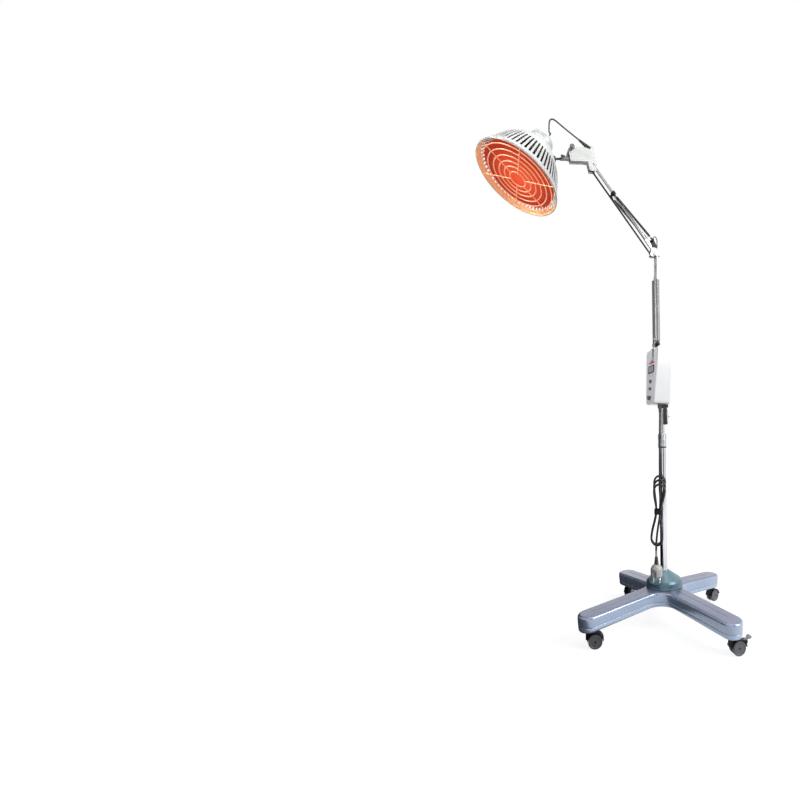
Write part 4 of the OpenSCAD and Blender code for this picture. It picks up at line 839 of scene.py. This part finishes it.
bm = bmesh.new()
outer, inner = rounded(35.6, 23.6, 2.6, 5), rounded(29, 17, 1.2, 5)
frame_ring(bm, outer, inner, on_panel(LENS_Z), 1.15, 1.75)
bezel = dress(add_object("display_bezel", bm, smooth=False), "boot_black", "turret")
lcd = finish_of("lcd_glass", "#aeb7b0", 0.16, shade=0.93, light=1.04, scale=60, spread=0.03, grain=0.02).mat
bm = bmesh.new()
prism(bm, rounded(29, 17, 1.2, 5), on_panel(LENS_Z), 1.18, 1.42, 0.08)
dress(add_object("display_window", bm, smooth=False), lcd, "turret")
SEGMENTS = {"0": "abcdef", "3": "abgcd"}
PLACES = {"a": (0, 5, 0), "b": (2.6, 2.5, 1), "c": (2.6, -2.5, 1), "d": (0, -5, 0), "e": (-2.6, -2.5, 1),
          "f": (-2.6, 2.5, 1), "g": (0, 0, 0)}
bm = bmesh.new()
for digit, x0 in (("3", 5.0), ("0", -5.0)):
    for s in SEGMENTS[digit]:
        sx, sy, tall = PLACES[s]
        w, h = (1.1, 4.1) if tall else (4.1, 1.1)
        prism(bm, rounded(w, h, 0.4, 2, x0 - sx, sy), on_panel(LENS_Z), 1.40, 1.52, 0.05)
dress(add_object("display_digits", bm, smooth=False), "boot_black", "turret")

red = finish_of("stripe_red", "#c2284a", 0.36, shade=0.92, light=1.06, scale=90, grain=0.15).mat
bm = bmesh.new()
prism(bm, rounded(34, 4.6, 0.8, 3), on_panel(STRIPE_Z), -0.1, 0.28, 0.1)
dress(add_object("panel_stripe", bm, smooth=False), red, "turret")
bm = bmesh.new()
for y, z in ((-9, 725.5), (9, 725.5), (-9, 719.5), (9, 719.5)):
    prism(bm, rounded(5.2, 2.6, 0.7, 3), on_panel(z, y), -0.1, 0.26, 0.1)
for y, z in ((-14, 713.5), (13, 713.5)):
    prism(bm, rounded(3.0, 1.6, 0.5, 3), on_panel(z, y), -0.1, 0.26, 0.1)
dress(add_object("panel_marks", bm, smooth=False), "key_grey", "turret")
for body, z, sign in (("key_up", KEY_UP_Z, 1), ("key_down", KEY_DOWN_Z, -1)):
    bm = bmesh.new()
    prism(bm, [(-2.6, -1.9 * sign), (2.6, -1.9 * sign), (0, 2.5 * sign)][::sign], on_panel(z), 3.9, 4.3, 0.12)
    dress(add_object(body + "_arrow", bm, smooth=False), "boot_black", body)
bm = bmesh.new()
for k in range(28):
    a = 2 * math.pi * k / 28
    if abs(math.sin(a)) < 0.28:
        continue

    def rib(p, q, h, a=a):
        r = 6.42 + q
        t = a + p / 6.5
        return face(FUSE_Z, r * math.cos(t), r * math.sin(t), h)
    prism(bm, [(-0.35, -0.2), (0.35, -0.2), (0.35, 0.25), (-0.35, 0.25)], rib, 0.8, 7.0, 0.08)
dress(add_object("fuse_cap_ribs", bm, smooth=False), "arm_grey", "fuse_cap")


# ------------------------------------------------------------------ floor, light and world
def disc(name, radius, z, steps=96):
    bm = bmesh.new()
    bmesh.ops.create_circle(bm, cap_ends=True, radius=radius, segments=steps)
    bmesh.ops.translate(bm, verts=bm.verts, vec=(0, 0, z))
    return add_object(name, bm, smooth=False, recalc=False)


g = Graph("floor_white")
diffuse = g.add("ShaderNodeBsdfDiffuse")
speck = g.noise(9, 4, 0.6)
g.link(g.ramp(speck, [(0.3, (0.30, 0.30, 0.31, 1)), (0.7, (0.33, 0.33, 0.33, 1))]), diffuse.inputs["Color"])
emit = g.add("ShaderNodeEmission")
length = g.add("ShaderNodeVectorMath", operation="LENGTH")
g.link(g.coord, length.inputs[0])
path = g.add("ShaderNodeLightPath")
seen = g.math("MAXIMUM", path.outputs["Is Camera Ray"],
              g.math("MAXIMUM", path.outputs["Is Glossy Ray"], path.outputs["Is Transmission Ray"]))
g.link(g.math("MULTIPLY", seen, g.span(length.outputs["Value"], 0.3, 1.3, 0.88, 1.0, True)),
       emit.inputs["Strength"])
both = g.add("ShaderNodeAddShader")
g.link(diffuse.outputs[0], both.inputs[0])
g.link(emit.outputs[0], both.inputs[1])
g.link(both.outputs[0], g.out.inputs["Surface"])
floor = disc("floor", 14, 0)
floor.data.materials.append(g.mat)

world = bpy.data.worlds.new("studio")
scene.world = world
world.use_nodes = True
wt = world.node_tree
wt.nodes.clear()
w_out = wt.nodes.new("ShaderNodeOutputWorld")
w_mix = wt.nodes.new("ShaderNodeMixShader")
w_soft, w_white = wt.nodes.new("ShaderNodeBackground"), wt.nodes.new("ShaderNodeBackground")
w_white.inputs["Color"].default_value = (1, 1, 1, 1)
w_white.inputs["Strength"].default_value = 1.0
w_soft.inputs["Color"].default_value = (0.93, 0.96, 1.0, 1)
w_coord = wt.nodes.new("ShaderNodeTexCoord")
w_dot = wt.nodes.new("ShaderNodeVectorMath")
w_dot.operation = "DOT_PRODUCT"
w_dot.inputs[1].default_value = (0.72, -0.55, 0.42)
wt.links.new(w_coord.outputs["Generated"], w_dot.inputs[0])
w_span = wt.nodes.new("ShaderNodeMapRange")
w_span.interpolation_type = "SMOOTHSTEP"
for key, value in (("From Min", 0.0), ("From Max", 0.85), ("To Min", 0.02), ("To Max", 0.50)):
    w_span.inputs[key].default_value = value
wt.links.new(w_dot.outputs["Value"], w_span.inputs["Value"])
wt.links.new(w_span.outputs["Result"], w_soft.inputs["Strength"])
w_path = wt.nodes.new("ShaderNodeLightPath")
w_a, w_b = wt.nodes.new("ShaderNodeMath"), wt.nodes.new("ShaderNodeMath")
w_a.operation = w_b.operation = "MAXIMUM"
wt.links.new(w_path.outputs["Is Camera Ray"], w_a.inputs[0])
wt.links.new(w_path.outputs["Is Glossy Ray"], w_a.inputs[1])
wt.links.new(w_a.outputs[0], w_b.inputs[0])
wt.links.new(w_path.outputs["Is Transmission Ray"], w_b.inputs[1])
wt.links.new(w_b.outputs[0], w_mix.inputs["Fac"])
wt.links.new(w_soft.outputs[0], w_mix.inputs[1])
wt.links.new(w_white.outputs[0], w_mix.inputs[2])
wt.links.new(w_mix.outputs[0], w_out.inputs["Surface"])


def area(name, place, aim, size, power, colour=(1, 1, 1), spread=180):
    data = bpy.data.lights.new(name, "AREA")
    data.shape = "RECTANGLE"
    data.size, data.size_y = size
    data.energy = power
    data.color = colour
    data.spread = deg(spread)
    obj = bpy.data.objects.new(name, data)
    scene.collection.objects.link(obj)
    obj.location = place
    obj.rotation_euler = (Vector(aim) - Vector(place)).to_track_quat("-Z", "Y").to_euler()
    return obj


def round_camera(angle, distance, z):
    """Place at a heading to the right of the camera's own, seen from the lamp."""
    a = math.atan2(-heading.y, -heading.x) + deg(angle)
    return Vector((math.cos(a) * distance, math.sin(a) * distance, z))


area("key", round_camera(62, 2.3, 1.7), (0, 0, 0.45), (1.3, 1.6), 52)
area("top", (0.1, -0.2, 3.0), (0, 0, 0), (1.6, 1.6), 13)
area("fill_left", round_camera(-52, 1.9, 1.25), (-0.15, 0, 1.0), (0.7, 0.7), 2.6, spread=45)

black = bpy.data.materials.new("card_black")
black.use_nodes = True
black.node_tree.nodes["Principled BSDF"].inputs["Base Color"].default_value = (0.01, 0.01, 0.01, 1)
black.node_tree.nodes["Principled BSDF"].inputs["Roughness"].default_value = 1.0
black.node_tree.nodes["Principled BSDF"].inputs["Specular IOR Level"].default_value = 0.0


def card(name, a0, a1, distance, z0, z1, near=None):
    """Black card standing round the lamp, or lying from near to distance, seen only in reflections."""
    bm = bmesh.new()
    rows = []
    for k in range(7):
        rows.append([bm.verts.new(round_camera(lerp(a0, a1, k / 6), d, z))
                     for d, z in ((near or distance, z0), (distance, z1))])
    for a, b in zip(rows, rows[1:]):
        bm.faces.new((a[0], b[0], b[1], a[1]))
    obj = add_object(name, bm, smooth=False, recalc=False)
    obj.data.materials.append(black)
    obj.visible_camera = obj.visible_diffuse = obj.visible_shadow = obj.visible_transmission = False
    return obj


cards = [card("card_right", 16, 40, 2.6, 0.0, 3.0), card("card_left", -158, -112, 2.6, 0.0, 3.0),
         card("card_low", -110, -30, 1.6, 0.0, 0.5), card("card_floor", -150, -32, 1.6, 0.001, 0.001, 0.02)]
